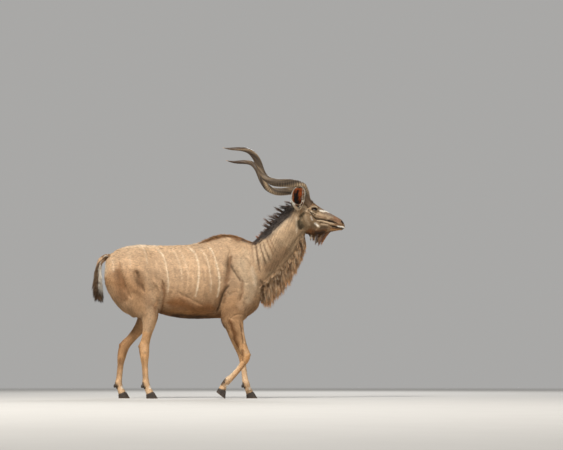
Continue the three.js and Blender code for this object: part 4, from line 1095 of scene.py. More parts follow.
COAT_MARKS = {
    # Painted highlight: the top of the back paler where the skin faces up.
    "back top highlight": ("top", 60, ("sand", 0.6), [(-930, 1270), (-700, 1320), (-400, 1320), (-150, 1350)]),
    "croup white": ("top", 22, ("cream", 0.5), [(-830, 1306), (-700, 1322), (-500, 1318)]),
    "flank light": ("side", 90, ("sand", 0.4), [(-560, 1150), (-300, 1140), (-60, 1150)]),
    "rump shade": ("side", 60, ("umber", 0.65), [(-900, 1080), (-850, 960), (-760, 860)]),
    # Painted shade in the grooves and hollows of the thigh.
    "thigh groove shade": ("side", 20, ("peat", 0.6), [(-704, 1080), (-676, 1010), (-648, 950), (-622, 900)]),
    "thigh groove wide shade": ("side", 46, ("umber", 0.45), [(-720, 1080), (-650, 930)]),
    "rear hollow shade": ("side", 18, ("umber", 0.5), [(-846, 1150), (-826, 1050), (-786, 930)]),
    # Painted highlights on the thigh's muscle and front edge, and painted shade in the groove in front of the
    # thigh.
    "thigh highlight": ("side", 40, ("sand", 0.7), [(-620, 1120), (-572, 1000), (-550, 900), (-560, 800)]),
    "thigh edge highlight": ("side", 17, ("sand", 0.7), [(-474, 940), (-484, 830), (-524, 720)]),
    "thigh front shade": ("side", 12, ("umber", 0.7), [(-474, 1010), (-456, 916), (-470, 816), (-504, 700)]),
    "flank shade": ("side", 46, ("umber", 0.2), [(-440, 980), (-400, 850), (-300, 780)]),
    "flank low": ("side", 52, ("rust", 0.75), [(-440, 800), (-200, 764), (-30, 764)]),
    "belly light": ("side", 16, ("amber", 0.4), [(-440, 748), (-250, 734), (-60, 736)]),
    # Painted shade: darker where the skin faces down under the belly.
    "belly": ("under", 40, ("umber", 0.7), [(-480, 730), (-300, 700), (-60, 700), (120, 705)]),
    "belly line": ("under", 18, ("peat", 0.75), [(-400, 702), (-160, 688), (0, 692)]),
    "belly edge": ("side", 9, ("peat", 0.7), [(-380, 716), (-200, 704), (-40, 704)]),
    # Painted highlights on the shoulder and along its front edge.
    "shoulder highlight": ("side", 80, ("bloom", 0.5), [(190, 1260), (240, 1100), (280, 930), (280, 850)]),
    "shoulder highlight 2": ("side", 40, ("bloom", 0.5), [(196, 1200), (250, 1040), (292, 880)]),
    "shoulder edge highlight": ("side", 20, ("cream", 0.4), [(286, 1130), (312, 1030), (316, 950)]),
    # Painted shadow down behind the shoulder, and painted shade along the foot of the blade.
    "shoulder slope": ("side", 26, ("umber", 0.75), [(112, 1220), (94, 1090), (84, 960), (46, 860)]),
    "blade shade": ("side", 9, ("peat", 0.6), [(110, 1150), (130, 1098), (164, 1046), (196, 1002)]),
    "shade behind shoulder": ("side", 30, ("umber", 0.5), [(70, 960), (20, 860), (-20, 760)]),
    # Painted shade in the elbow crease, and a painted highlight on the triceps.
    "elbow crease shade": ("side", 11, ("peat", 0.8), [(100, 962), (52, 899), (14, 800), (-12, 738)]),
    "arm highlight": ("side", 34, ("sand", 0.5), [(110, 1000), (104, 880)]),
    # Painted highlights on the front of the upper arm and on the breast.
    "upper arm": ("side", 46, ("sand", 0.6), [(262, 900), (240, 830), (190, 760)]),
    "breast highlight": ("side", 40, ("bloom", 0.45), [(296, 900), (272, 830)]),
    "stifle light": ("side", 56, ("sand", 0.45), [(-560, 900), (-585, 840), (-600, 770)]),
    # Painted shade in the arm groove and in the chest fold.
    "arm groove": ("side", 12, ("umber", 0.5), [(206, 1010), (214, 920), (190, 830)]),
    "chest fold shade": ("side", 14, ("peat", 0.7), [(366, 1020), (388, 940), (374, 870)]),
    # Painted shade on the rear of the forearm and in its groove, and a painted highlight down its front.
    "forearm rear shade": ("side", 26, ("umber", 0.95), [(104, 680), (138, 560), (172, 430)]),
    "forearm groove shade": ("side", 6, ("peat", 0.6), [(192, 650), (206, 560), (216, 470)]),
    "forearm front": ("side", 12, ("sand", 0.6), [(214, 640), (226, 540), (236, 460)]),
    "mane band": (
        "any", 30, ("soot", 0.95),
        [(350, 1392), (420, 1434), (500, 1510), (575, 1584), (640, 1640), (670, 1684)],
    ),
    "mane band low": ("side", 24, ("soot", 0.85), [(392, 1382), (470, 1446), (550, 1526), (630, 1590)]),
    "mane root": ("top", 15, ("soot", 0.9), [(206, 1374), (250, 1362), (300, 1356), (350, 1386)]),
    "withers mane": (
        "top", 22, ("umber", 0.9), [(-150, 1350), (-60, 1378), (50, 1404), (150, 1400), (240, 1370)],
    ),
    "neck low shade": ("side", 60, ("umber", 0.42), [(410, 1090), (500, 1190), (590, 1300)]),
    "neck side light": ("side", 8, ("cream", 0.5), [(668, 1570), (676, 1500), (676, 1420)]),
    "neck brow light": ("side", 26, ("bloom", 0.5), [(480, 1430), (570, 1510), (640, 1560)]),
    # Painted highlights on the ridges between the neck folds, and below them painted shade in the folds.
    "fold highlight 1": ("side", 7, ("bloom", 0.7), [(306, 1330), (316, 1236), (330, 1140)]),
    "fold highlight 2": ("side", 7, ("bloom", 0.75), [(340, 1330), (358, 1240), (382, 1140)]),
    "fold highlight 3": ("side", 6, ("bloom", 0.75), [(371, 1338), (398, 1250), (430, 1160)]),
    "fold highlight 4": ("side", 6, ("bloom", 0.6), [(400, 1358), (430, 1276), (464, 1194)]),
    "fold shade a": ("side", 6.5, ("peat", 0.9), [(322, 1336), (334, 1240), (350, 1140), (362, 1080)]),
    "fold shade b": ("side", 6, ("peat", 0.9), [(356, 1334), (380, 1245), (410, 1150)]),
    "fold shade c": ("side", 5.5, ("peat", 0.75), [(386, 1342), (414, 1256), (448, 1168)]),
    "fold shade d": ("side", 4.5, ("umber", 0.8), [(412, 1374), (444, 1300), (480, 1224)]),
    "fold shade e": ("side", 4.5, ("umber", 0.7), [(438, 1384), (468, 1316), (500, 1254)]),
    "fold shade f": ("side", 6, ("peat", 0.35), [(288, 1320), (298, 1230), (304, 1150)]),
    "throat dark": (
        "any", 26, ("peat", 0.36), [(400, 900), (520, 1010), (620, 1130), (690, 1240), (730, 1340)],
    ),
    # Painted shadow in the hollow behind the jaw.
    "behind jaw": ("side", 27, ("moss", 0.95), [(708, 1540), (706, 1492), (728, 1464)]),
    "deep shadow behind jaw": ("side", 15, ("peat", 0.7), [(704, 1500), (722, 1462)]),
    "rump rear": ("any", 26, ("cream", 0.5), [(-985, 1130), (-975, 1040)]),
}
LEG_MARKS = {
    "knee glow": ("any", 18, ("amber", 0.6), [(262, 360), (246, 304)]),
    "knee light": ("any", 20, ("sand", 0.5), [(250, 430), (256, 390)]),
    "shin pale": ("any", 13, ("cream", 0.5), [(184, 290), (122, 220), (64, 152)], []),
    "shin front": ("any", 9, ("rust", 0.5), [(240, 300), (182, 222), (124, 152)], []),
    # Painted shade behind the knees.
    "knee rear": (
        "side", 12, ("umber", 0.7),
        [(206, 420), (214, 360), (206, 312)],
        [(168, 420), (180, 360), (188, 312)],
    ),
    "left shin": ("any", 26, ("cream", 0.3), [], [(208, 320), (222, 226), (236, 130)]),
    "inner arm patch": ("inner", 30, ("black", 0.8), [(150, 640), (150, 560)]),
    "rear fetlock black": (
        "any", 15, ("black", 0.85), [(64, 172), (50, 146), (36, 118)], [(208, 142), (212, 112), (226, 84)],
    ),
    "hind fetlock black": (
        "any", 15, ("black", 0.85),
        [(-648, 140), (-642, 112), (-622, 84)],
        [(-902, 146), (-898, 116), (-880, 84)],
    ),
    "pastern white": ("any", 9, ("bone", 0.8), [(88, 122), (74, 102)], [(266, 100), (274, 74)]),
    "hind pastern white": ("any", 9, ("bone", 0.8), [(-584, 108), (-572, 84)], [(-840, 108), (-828, 84)]),
    "coronet": ("any", 9, ("peat", 0.6), [(30, 78), (70, 70)]),
    "hock light": ("any", 30, ("sand", 0.4), [(-632, 470), (-622, 390)]),
    "hock rear": (
        "any", 12, ("umber", 0.6),
        [(-660, 520), (-676, 440), (-664, 370)],
        [(-830, 520), (-862, 450), (-876, 370)],
    ),
    "gaskin pale": ("side", 46, ("sand", 0.8), [(-570, 780), (-590, 690), (-600, 560)], []),
    "gaskin rear": ("any", 26, ("sand", 0.4), [(-668, 740), (-650, 640), (-650, 560)], []),
    "left hind shade": ("any", 60, ("umber", 0.4), [], [(-690, 700), (-800, 480), (-860, 300)]),
    "hind shin": ("any", 16, ("umber", 0.4), [(-640, 360), (-634, 240), (-630, 160)], []),
    "hind shin, left": ("any", 20, ("umber", 0.4), [], [(-856, 350), (-874, 240), (-886, 160)]),
}
FACE_MARKS = {
    "forehead": ("any", 20, ("umber", 0.35), [(770, 1720), (836, 1690), (884, 1652)]),
    "horn foot": ("any", 14, ("sand", 0.8), [(786, 1712), (806, 1702)]),
    "nose bridge": ("top", 24, ("slate", 0.85), [(880, 1660), (960, 1615), (1040, 1570), (1080, 1530)]),
    "nose red": ("side", 16, ("chestnut", 0.4), [(990, 1562), (1024, 1548), (1060, 1530)]),
    "nose edge": ("side", 9, ("bark", 0.9), [(930, 1616), (980, 1594), (1020, 1574), (1056, 1552)]),
    # Painted highlight along the side of the face below the eye.
    "face highlight": ("side", 20, ("bloom", 0.65), [(836, 1590), (880, 1580), (940, 1562), (1000, 1544)]),
    "face grey": ("side", 12, ("slate", 0.4), [(880, 1604), (940, 1592), (1000, 1566)]),
    "face band": ("side", 9, ("bark", 0.7), [(850, 1574), (890, 1564), (940, 1556)]),
    "face shade": ("side", 13, ("bark", 0.9), [(960, 1548), (1010, 1534), (1046, 1524)]),
    "temple light": ("side", 18, ("bloom", 0.85), [(724, 1664), (744, 1640), (762, 1606)]),
    "temple dark": ("side", 8, ("peat", 0.8), [(744, 1706), (764, 1694)]),
    "temple spot": ("side", 6, ("umber", 0.6), [(738, 1646), (742, 1626)]),
    "ear foot": ("side", 14, ("moss", 0.8), [(728, 1598), (742, 1580)]),
    # Painted highlight at the foot of the ear.
    "ear foot highlight": ("side", 15, ("cream", 0.75), [(664, 1642), (688, 1618)]),
    # Painted shadow in the hollow behind the jaw.
    "wide shadow behind jaw": ("any", 23, ("moss", 0.85), [(738, 1594), (704, 1548), (714, 1502), (738, 1464)]),
    "cheek olive": ("side", 36, ("moss", 0.32), [(752, 1570), (770, 1510), (820, 1480)]),
    "brow dark": ("side", 6, ("umber", 0.7), [(794, 1664), (828, 1668), (868, 1654)]),
    "brow light": ("side", 4.2, ("cream", 0.9), [(804, 1640), (812, 1650), (832, 1653), (860, 1644)]),
    # Painted shade under the brow, above the eye.
    "lid line": ("side", 3, ("peat", 0.9), [(800, 1640), (826, 1646), (850, 1640)]),
    "under eye light": ("side", 4.4, ("cream", 0.95), [(798, 1616), (811, 1606), (834, 1602)]),
    "under eye line": ("side", 3.4, ("peat", 0.85), [(790, 1614), (806, 1600), (828, 1592)]),
    "under eye light 2": ("side", 4, ("cream", 0.7), [(786, 1603), (802, 1590), (824, 1580)]),
    "tear spot": ("side", 5, ("bone", 0.9), [(866, 1634), (876, 1628)]),
    "chevron": ("any", 6.6, ("bone", 1.0), [(872, 1623), (886, 1618), (912, 1616), (940, 1615), (966, 1604)]),
    "chevron foot": ("side", 4, ("cream", 0.6), [(872, 1610), (890, 1612)]),
    "eye corner": ("side", 6, ("peat", 0.85), [(850, 1628), (866, 1634), (880, 1630)]),
    "behind eye": ("side", 6.5, ("black", 0.9), [(775, 1654), (782, 1642)]),
    "behind eye 2": ("side", 5, ("peat", 0.8), [(779, 1634), (782, 1610)]),
    # Painted shade in the creases of the face.
    "face crease": ("side", 6.5, ("peat", 0.95), FACE_CREASE),
    "deep crease shade": ("side", 8.5, ("black", 0.95), [(946, 1534), (974, 1526), (1004, 1520)]),
    "second crease": ("side", 5, ("peat", 0.9), [(874, 1518), (888, 1515), (912, 1510)]),
    # Painted highlights on the ridges of the cheek.
    "upper cheek highlight": ("side", 7, ("bloom", 0.9), [(850, 1531), (900, 1528), (956, 1514), (1000, 1504)]),
    "lower cheek highlight": ("side", 9, ("bloom", 0.8), [(886, 1500), (926, 1496), (950, 1492)]),
    "cheek spot": ("side", 6, ("bone", 1.0), [(796, 1566), (806, 1548), (816, 1532)]),
    "cheek spot glow": ("side", 12, ("cream", 0.5), [(834, 1512), (855, 1496), (880, 1476)]),
    "cheek spot 2": ("side", 8.5, ("bone", 0.85), [(832, 1512), (848, 1498), (868, 1482)]),
    "cheek spot rim": ("side", 6, ("moss", 0.5), [(812, 1520), (830, 1488), (856, 1466)]),
    "cheek": ("side", 34, ("smoke", 0.6), [(780, 1560), (796, 1490)]),
    "cheek light": ("side", 12, ("bloom", 0.4), [(754, 1580), (762, 1530), (792, 1490)]),
    # Painted shade under the jaw, darkest where the skin faces down.
    "jaw under shade": ("under", 40, ("umber", 0.95), [(760, 1440), (860, 1410), (960, 1430)]),
    "jaw shade": ("side", 17, ("umber", 0.95), [(776, 1446), (860, 1434), (944, 1456)]),
    "jaw glow": ("side", 8, ("rust", 0.45), [(776, 1452), (812, 1440)]),
    # Painted shade along the lower edge of the jaw and in the hollow before its corner.
    "deep jaw shade": ("side", 12, ("peat", 0.95), [(834, 1436), (880, 1428), (926, 1442)]),
    "jaw corner": ("side", 20, ("peat", 0.65), [(880, 1468), (944, 1474)]),
    "muzzle": ("any", 22, ("bark", 0.9), [(1040, 1540), (1080, 1520), (1096, 1500)]),
    "nose leather": ("any", 14, ("black", 0.8), [(1088, 1532), (1098, 1512)]),
    # Painted shade in the nostril.
    "nostril": ("side", 10, ("black", 1.0), [(1062, 1530), (1076, 1522), (1086, 1511)]),
    "upper lip white": ("any", 6, ("bone", 1.0), [(1026, 1486), (1052, 1482), (1080, 1476), (1099, 1474)]),
    "lip rim": ("side", 4, ("umber", 0.8), [(1010, 1500), (1044, 1499), (1070, 1496)]),
    "chin": ("any", 8, ("amber", 0.5), [(966, 1460), (1020, 1456), (1066, 1458)]),
    "chin line": ("side", 3.5, ("umber", 0.8), [(976, 1468), (1030, 1464), (1060, 1466)]),
    # Painted shade in the slit of the mouth.
    "mouth line": (
        "any", 3.6, ("black", 1.0), [(964, 1492), (1000, 1483), (1040, 1472), (1076, 1466), (1104, 1467)],
    ),
    # Painted shade where the lips part.
    "mouth shade": ("side", 8, ("black", 0.95), [(982, 1487), (1006, 1480), (1036, 1473)]),
    "ear lobe": ("side", 20, ("tawny", 0.5), [(690, 1620), (720, 1600)]),
}


def rgb(r, g, b):
    """The light that a colour seen on screen stands for."""
    c = np.array((r, g, b)) / 255
    return tuple(np.where(c <= 0.04045, c / 12.92, ((c + 0.055) / 1.055) ** 2.4))


# Colours that a user may set. Besides the coat's own colours, umber, peat, moss and black also serve as
# painted shade in hollows, grooves, creases, openings and where the skin faces down, and sand, bloom and
# cream as painted highlights on bulges and edges, in the marks that say so.
PALETTE = {
    "sand": ("Upper flanks and shoulders", (194, 163, 130)),
    "tawny": ("Middle of the flanks", (174, 133, 93)),
    # Umber is also painted shade: in the hollows of the thigh, behind the shoulder, on the rear of the
    # forearm and under the belly and the jaw.
    "umber": ("Belly, hollows of the thigh and withers mane", (110, 72, 40)),
    "dust": ("Neck and upper head", (180, 153, 122)),
    "smoke": ("Lower neck and cheeks", (140, 115, 86)),
    "honey": ("Shins and chin", (204, 160, 114)),
    "rust": ("Lower flanks", (142, 90, 46)),
    # Bloom is mostly painted highlight, on the shoulder, between the neck folds and on the face; on the
    # fringe it is the hair's own colour.
    "bloom": ("Grey bloom of shoulder and neck", (198, 174, 144)),
    # Moss is painted shadow in the hollow behind the jaw, and also the olive tone of the cheek.
    "moss": ("Hollow behind the jaw", (84, 72, 52)),
    "slate": ("Grey hair of mane and beard", (112, 104, 100)),
    "bark": ("Face and muzzle", (118, 89, 66)),
    "soot": ("Mane of the neck", (62, 57, 56)),
    # Peat is painted shade in creases, grooves and folds, as well as the colour of dark hair.
    "peat": ("Creases and dark hair", (56, 40, 27)),
    "cream": ("Stripes and pale edges", (236, 218, 190)),
    "ember": ("Inside of the ear", (186, 92, 38)),
    "chestnut": ("Top of the nose", (140, 88, 66)),
    "amber": ("Tips of the fringe and beard", (206, 148, 88)),
    "bone": ("White marks of the face and feet", (246, 238, 224)),
    "black": ("Nose, nostrils and foot patches", (20, 16, 13)),
}


TINTS = {
    "iris": rgb(26, 15, 9),
    "iris ray": rgb(58, 34, 18),
    "white of the eye": rgb(30, 20, 15),
    "pupil": rgb(6, 5, 5),
    # Painted shade for the horn's grooves and for the hollows between its rings.
    "horn groove shade": rgb(46, 37, 29),
    "shade between the rings": rgb(50, 38, 28),
    "upper horn": rgb(64, 45, 32),
    "foot of the horn": rgb(140, 108, 80),
    "hoof streak": rgb(104, 88, 72),
    "hoof edge": rgb(120, 96, 72),
    "floor": rgb(188, 186, 182),
    "floor light": rgb(196, 194, 190),
}


def ramp(value, *stops):
    """Colours between those set at places along a value."""
    places, colours = [s[0] for s in stops], np.array([s[1] for s in stops])
    return np.stack([np.interp(value, places, colours[:, c]) for c in range(3)], -1)


def neck_share(points):
    """From 0 on the trunk to 1 on the neck, over a slanting line in front of the shoulder."""
    return smooth(points[:, 0] - 0.28 * (1300 - points[:, 2]), 270, 400)


def base_colour(hide, tint, region):
    """The ground colours of trunk, neck, head, legs and tail, without their marks."""
    between = lambda a, b, share: mix(tint[a], tint[b], share)
    points = hide.points
    height = np.maximum(hide.height, mix(-1.2, -0.3, hide.leggy))
    sandy = lambda share: between("tawny", "sand", share)
    trunk = [(-1.0, tint["umber"]), (-0.6, sandy(0.22)), (0.0, sandy(0.82)), (0.6, tint["sand"])]
    grey = between("smoke", "dust", 0.5)
    neck = [(-0.9, tint["smoke"]), (-0.2, grey), (0.5, tint["dust"]), (1, tint["dust"])]
    base = mix(ramp(height, *trunk), ramp(height, *neck), neck_share(points)[:, None])
    head = [(-0.9, tint["smoke"]), (0.2, between("smoke", "dust", 0.4)), (1, tint["bark"])]
    face = (0.7 * smooth(points[:, 0], 880, 1000))[:, None]
    head = mix(ramp(hide.head_height, *head), between("bark", "smoke", 0.4), face)
    base = mix(base, head, smooth(points[:, 0] + 0.2 * (points[:, 2] - 1500), 700, 740)[:, None])
    shin, knee = between("honey", "cream", 0.3), between("honey", "tawny", 0.4)
    leg = [(60, shin), (330, tint["honey"]), (480, knee), (760, sandy(0.25))]
    on_leg = np.maximum(smooth(hide.leggy, 0.2, 0.8), 1 - smooth(points[:, 2], 560, 660))
    base = mix(base, ramp(points[:, 2], *leg), (on_leg * (1 - smooth(points[:, 2], 640, 860)))[:, None])
    tail = mix(between("smoke", "umber", 0.4), tint["bone"], smooth(hide.normals[:, 0], 0.2, 0.8)[:, None])
    return np.where(region["tail"][:, None], tail, base)


def coat_mottle(hide, region):
    """Light and dark over the whole coat, with streaks down the neck and the flanks."""
    points = hide.points
    mottle = 1 + 0.07 * ripple(points, 240, 11) + 0.06 * ripple(points, 70, 12)
    mottle = mottle + 0.05 * ripple(points, 24, 13)
    on_neck = neck_share(points) * (points[:, 0] < 720)
    on_side = (1 - on_neck) * smooth(points[:, 2], 760, 860) * (points[:, 0] < 60) * ~region["tail"]
    along = np.stack([points[:, 0] - 0.42 * points[:, 2], points[:, 1], points[:, 2] * 0.1], -1)
    mottle += 0.13 * on_neck * ripple(along, 20, 14) + 0.06 * on_side * ripple(points * (1, 1, 0.12), 26, 15)
    return mottle[:, None]


def coat_colour(hide, colours):
    """The colour of skin and hair at each point, from the same marks for both."""
    tint = {name: np.array(getattr(colours, name)) for name in PALETTE}
    points = hide.points
    region = {name: hide.region == i for i, name in enumerate(REGIONS)}
    base = base_colour(hide, tint, region)
    body, face = ~region["tail"], ~(region["ear_right"] | region["ear_left"])
    legs = points[:, 2] < 800
    tables = (COAT_MARKS, 0.35, body), (STRIPES, 0.45, body), (LEG_MARKS, 0.3, legs), (FACE_MARKS, 0.12, face)
    for marks, wobble, limit in tables:
        for mark in marks.values():
            name, strength = mark[2]
            cover = hide.covered(mark, wobble) * strength * limit
            base = mix(base, tint[name], cover[:, None])
    for name, side in SIDES.items():
        base = ear_colour(base, hide, region["ear_" + name], side, tint)
        a, b = eye_places(points, side)
        by_eye = (points[:, 1] * side > 30) & (np.abs(a) < 60) & (np.abs(b) < 40)
        rim = (1 - smooth(lid_line(a, b)[0], 1.1, 1.4)) * by_eye
        base = mix(base, tint["black"], 0.95 * rim[:, None])
    return np.clip(base * coat_mottle(hide, region), 0.002, 0.95)


def ear_colour(base, hide, inside, side, tint):
    """An ear's colours over the ground colours: dark and warm in the cup, black towards the cup's foot as
    painted shade, with a pale rim.
    """
    up, open_way, fore, root = ear_frame(side)
    off = hide.points - root
    s = off @ up / EAR["length"]
    ahead = (off @ fore - 6 * smooth(s, 0.3, 1)) / np.maximum(ear_half(s), 8)
    edge = np.abs(ahead)
    cup = smooth((hide.normals * open_way).sum(1), -0.05, 0.35) * smooth(s - 0.18 * edge, 0.235, 0.275)
    spot = 0.16 * ripple(hide.points, 20, 31)
    # Black towards the foot of the cup: painted shade deep in the ear.
    low = (1 - smooth(s + 0.2 * spot - 0.1 * edge, 0.3, 0.48)) * 0.85
    warm = np.maximum(smooth(ahead + spot, 0.16, 0.42), smooth(s + spot, 0.74, 0.85))
    warm = np.maximum(warm, 0.9 * smooth(0.5 * spot - ahead, 0.4, 0.56))
    inner = mix(tint["black"], tint["ember"], warm[:, None])
    inner = mix(inner, tint["black"], np.maximum(0.6 * smooth(spot, 0.05, 0.2), low)[:, None])
    inner = mix(inner, tint["bone"], np.maximum(smooth(edge, 0.64, 0.76), smooth(s, 0.85, 0.91))[:, None])
    pale = 0.5 * (1 - smooth(s, 0.3, 0.55))
    coat = mix(mix(tint["dust"], tint["tawny"], 0.4), tint["cream"], pale[:, None])
    colour = mix(coat, inner, cup[:, None])
    colour = mix(colour, tint["bone"], (smooth(edge, 0.78, 0.9) * smooth(s, 0.24, 0.4))[:, None])
    return np.where((inside & (s > 0.2))[:, None], colour, base)


# Materials.
class Value:
    """A socket that gives a number, on which sums are written."""

    def __init__(self, web, socket):
        self.web, self.socket = web, socket

    def maths(self, operation, *values):
        node = self.web.node("ShaderNodeMath", {"operation": operation}, dict(enumerate(values)))
        return self.web.out(node)

    def __add__(self, other):
        return self.maths("ADD", self, other)

    def __sub__(self, other):
        return self.maths("SUBTRACT", self, other)

    def __rsub__(self, other):
        return self.maths("SUBTRACT", other, self)

    def __mul__(self, other):
        return self.maths("MULTIPLY", self, other)

    __radd__, __rmul__ = __add__, __mul__

    def above(self, low, high):
        """From 0 at the low value to 1 at the high one."""
        settings = {"interpolation_type": "SMOOTHSTEP"}
        node = self.web.node("ShaderNodeMapRange", settings, {0: self, 1: low, 2: high, 3: 0.0, 4: 1.0})
        return self.web.out(node)


class Web:
    """A material and its nodes."""

    def __init__(self, name, roughness, specular=0.3, **fixed):
        self.material = bpy.data.materials.new(name)
        self.material.use_nodes = True
        self.tree = self.material.node_tree
        self.shader = self.tree.nodes["Principled BSDF"]
        self.fix(Roughness=roughness, **{"Specular IOR Level": specular}, **fixed)

    def fix(self, **values):
        for name, value in values.items():
            self.shader.inputs[name].default_value = value

    def node(self, kind, settings=None, sockets=None):
        node = self.tree.nodes.new(kind)
        for name, value in (settings or {}).items():
            setattr(node, name, value)
        for name, value in (sockets or {}).items():
            self.feed(node.inputs[name], value)
        return node

    def feed(self, socket, value):
        if isinstance(value, Value):
            self.tree.links.new(value.socket, socket)
        elif socket.type == "RGBA" and len(tuple(value)) == 3:
            socket.default_value = (*value, 1)
        else:
            socket.default_value = value

    def out(self, node, name=0):
        return Value(self, node.outputs[name])

    def attribute(self, name, output="Fac"):
        return self.out(self.node("ShaderNodeAttribute", {"attribute_name": name}), output)

    def stretched(self, vector, *scale):
        return self.out(self.node("ShaderNodeVectorMath", {"operation": "MULTIPLY"}, {0: vector, 1: scale}))

    def noise(self, vector, scale, detail=3.0, roughness=0.55):
        sockets = {"Vector": vector, "Scale": scale, "Detail": detail, "Roughness": roughness}
        return self.out(self.node("ShaderNodeTexNoise", None, sockets), "Fac")

    def blend(self, factor, a, b, mode="MIX"):
        node = self.node("ShaderNodeMix", {"data_type": "RGBA", "blend_type": mode}, {0: factor, 6: a, 7: b})
        return self.out(node, 2)

    def grey(self, value):
        """A number as a colour, to darken or lighten another with."""
        return self.out(self.node("ShaderNodeCombineColor", None, {0: value, 1: value, 2: value}))

    def shaded(self, colour, value):
        return self.blend(1.0, colour, self.grey(value), "MULTIPLY")

    def bump(self, height, distance, strength=1.0):
        sockets = {"Height": height, "Distance": distance, "Strength": strength}
        return self.out(self.node("ShaderNodeBump", None, sockets))

    def finish(self, **links):
        for name, value in links.items():
            self.feed(self.shader.inputs[name.replace("_", " ")], value)
        return self.material


def skin_material(colours):
    web = Web("kudu_skin", 0.72, 0.22)
    combed = web.attribute("combed", "Vector")
    place = web.attribute("root", "Vector")
    hair = web.noise(web.stretched(combed, 500, 500, 500), 1.0, 4.0, 0.62)
    fine = web.noise(web.stretched(combed, 1500, 1500, 1500), 1.0, 3.0, 0.6)
    wide = web.noise(place, 28.0, 3.0, 0.5)
    specks = web.noise(place, 95.0, 2.0, 0.5).above(0.63, 0.70)
    colour = web.shaded(web.attribute("markings", "Color"), 0.56 + hair * 0.5 + fine * 0.38)
    colour = web.blend(wide.above(0.5, 0.75) * 0.16, colour, colours.umber)
    colour = web.blend(specks * 0.5, colour, colours.peat)
    rough = 0.62 + hair * 0.2
    relief = web.bump(hair + fine * 0.7, 0.0022, 0.7)
    return web.finish(Base_Color=colour, Roughness=rough, Normal=relief)


def hair_material(name, roughness=0.58):
    web = Web(name, roughness, 0.25)
    along = web.attribute("along")
    grain = web.noise(web.attribute("root", "Vector"), 420.0, 2.0)
    colour = web.shaded(web.attribute("markings", "Color"), 0.64 + along * 0.4 + grain * 0.26)
    return web.finish(Base_Color=colour, Roughness=0.5 + grain * 0.2)


# Tufts and strands.
class Pelt:
    """The finished skin with what it carries at each point, on which roots are spread."""

    def __init__(self, skin):
        mesh = skin.data
        mesh.calc_loop_triangles()
        read = lambda name, key, width: fetched(mesh.attributes[name].data, key, width).astype(float)
        self.corners = fetched(mesh.loop_triangles, "vertices", 3, np.int32)
        self.points = points_of(mesh) / MM - SHIFT
        self.normals = normals_of(mesh)
        self.lie = read("lie", "vector", 3)
        self.colour = read("markings", "color", 4)[:, :3]
        self.share, self.angle, self.region = read("place", "vector", 3).T
        self.longer, self.open, self.size = read("growth", "vector", 3).T
        a, b, c = (self.points[self.corners[:, i]] for i in range(3))
        self.areas = np.linalg.norm(np.cross(b - a, c - a), axis=1) / 2

    def density(self):
        """Tufts stand closer where they are smaller, and where the hair is long."""
        return self.open * (0.7 + 0.5 * self.longer) / self.size**1.6

    def spread(self, density):
        """How much grows on each face."""
        return self.areas * density[self.corners].mean(1)

    def roots(self, count, density, draw):
        """Evenly drawn roots, with the skin's own normal, lie, colour and place on its unwrap."""
        weight = np.cumsum(self.spread(density))
        at = (np.arange(count) + draw.uniform(0, 1, count)) / count * weight[-1]
        face = np.minimum(np.searchsorted(weight, at), len(weight) - 1)
        u, v = draw.uniform(0, 1, (2, count))
        over = u + v > 1
        u, v = np.where(over, 1 - u, u), np.where(over, 1 - v, v)
        shares = np.stack([1 - u - v, u, v], -1)[..., None]
        corners = self.corners[face]
        between = lambda values: (values[corners] * shares).sum(1)
        normals = unit(between(self.normals))
        turn = (self.angle[corners[:, 0]] / (2 * np.pi)) % 1
        return SimpleNamespace(
            points=between(self.points),
            normals=normals,
            lie=squared(between(self.lie), normals),
            colour=between(self.colour),
            longer=between(self.longer[:, None])[:, 0],
            size=between(self.size[:, None])[:, 0],
            place=np.stack([0.01 + 0.98 * self.share[corners[:, 0]], 0.01 + 0.98 * turn], -1),
        )


def set_hair_data(mesh, tint, roots, along, places, patch):
    """What a tuft or strand carries to its material, and its own patch on the unwrap."""
    add_attribute(mesh, "markings", "FLOAT_COLOR", np.clip(tint, 0.002, 0.98))
    add_attribute(mesh, "root", "FLOAT_VECTOR", np.repeat(metres(roots), len(along), axis=0))
    add_attribute(mesh, "along", "FLOAT", np.tile(along, len(roots)))
    layer = mesh.uv_layers.new(name="OFBake")
    corners = fetched(mesh.loops, "vertex_index", 1, np.int32)[:, 0]
    spots = (places[:, None] + patch * MM).reshape(-1, 2)
    layer.data.foreach_set("uv", spots[corners].astype(np.float32).ravel())


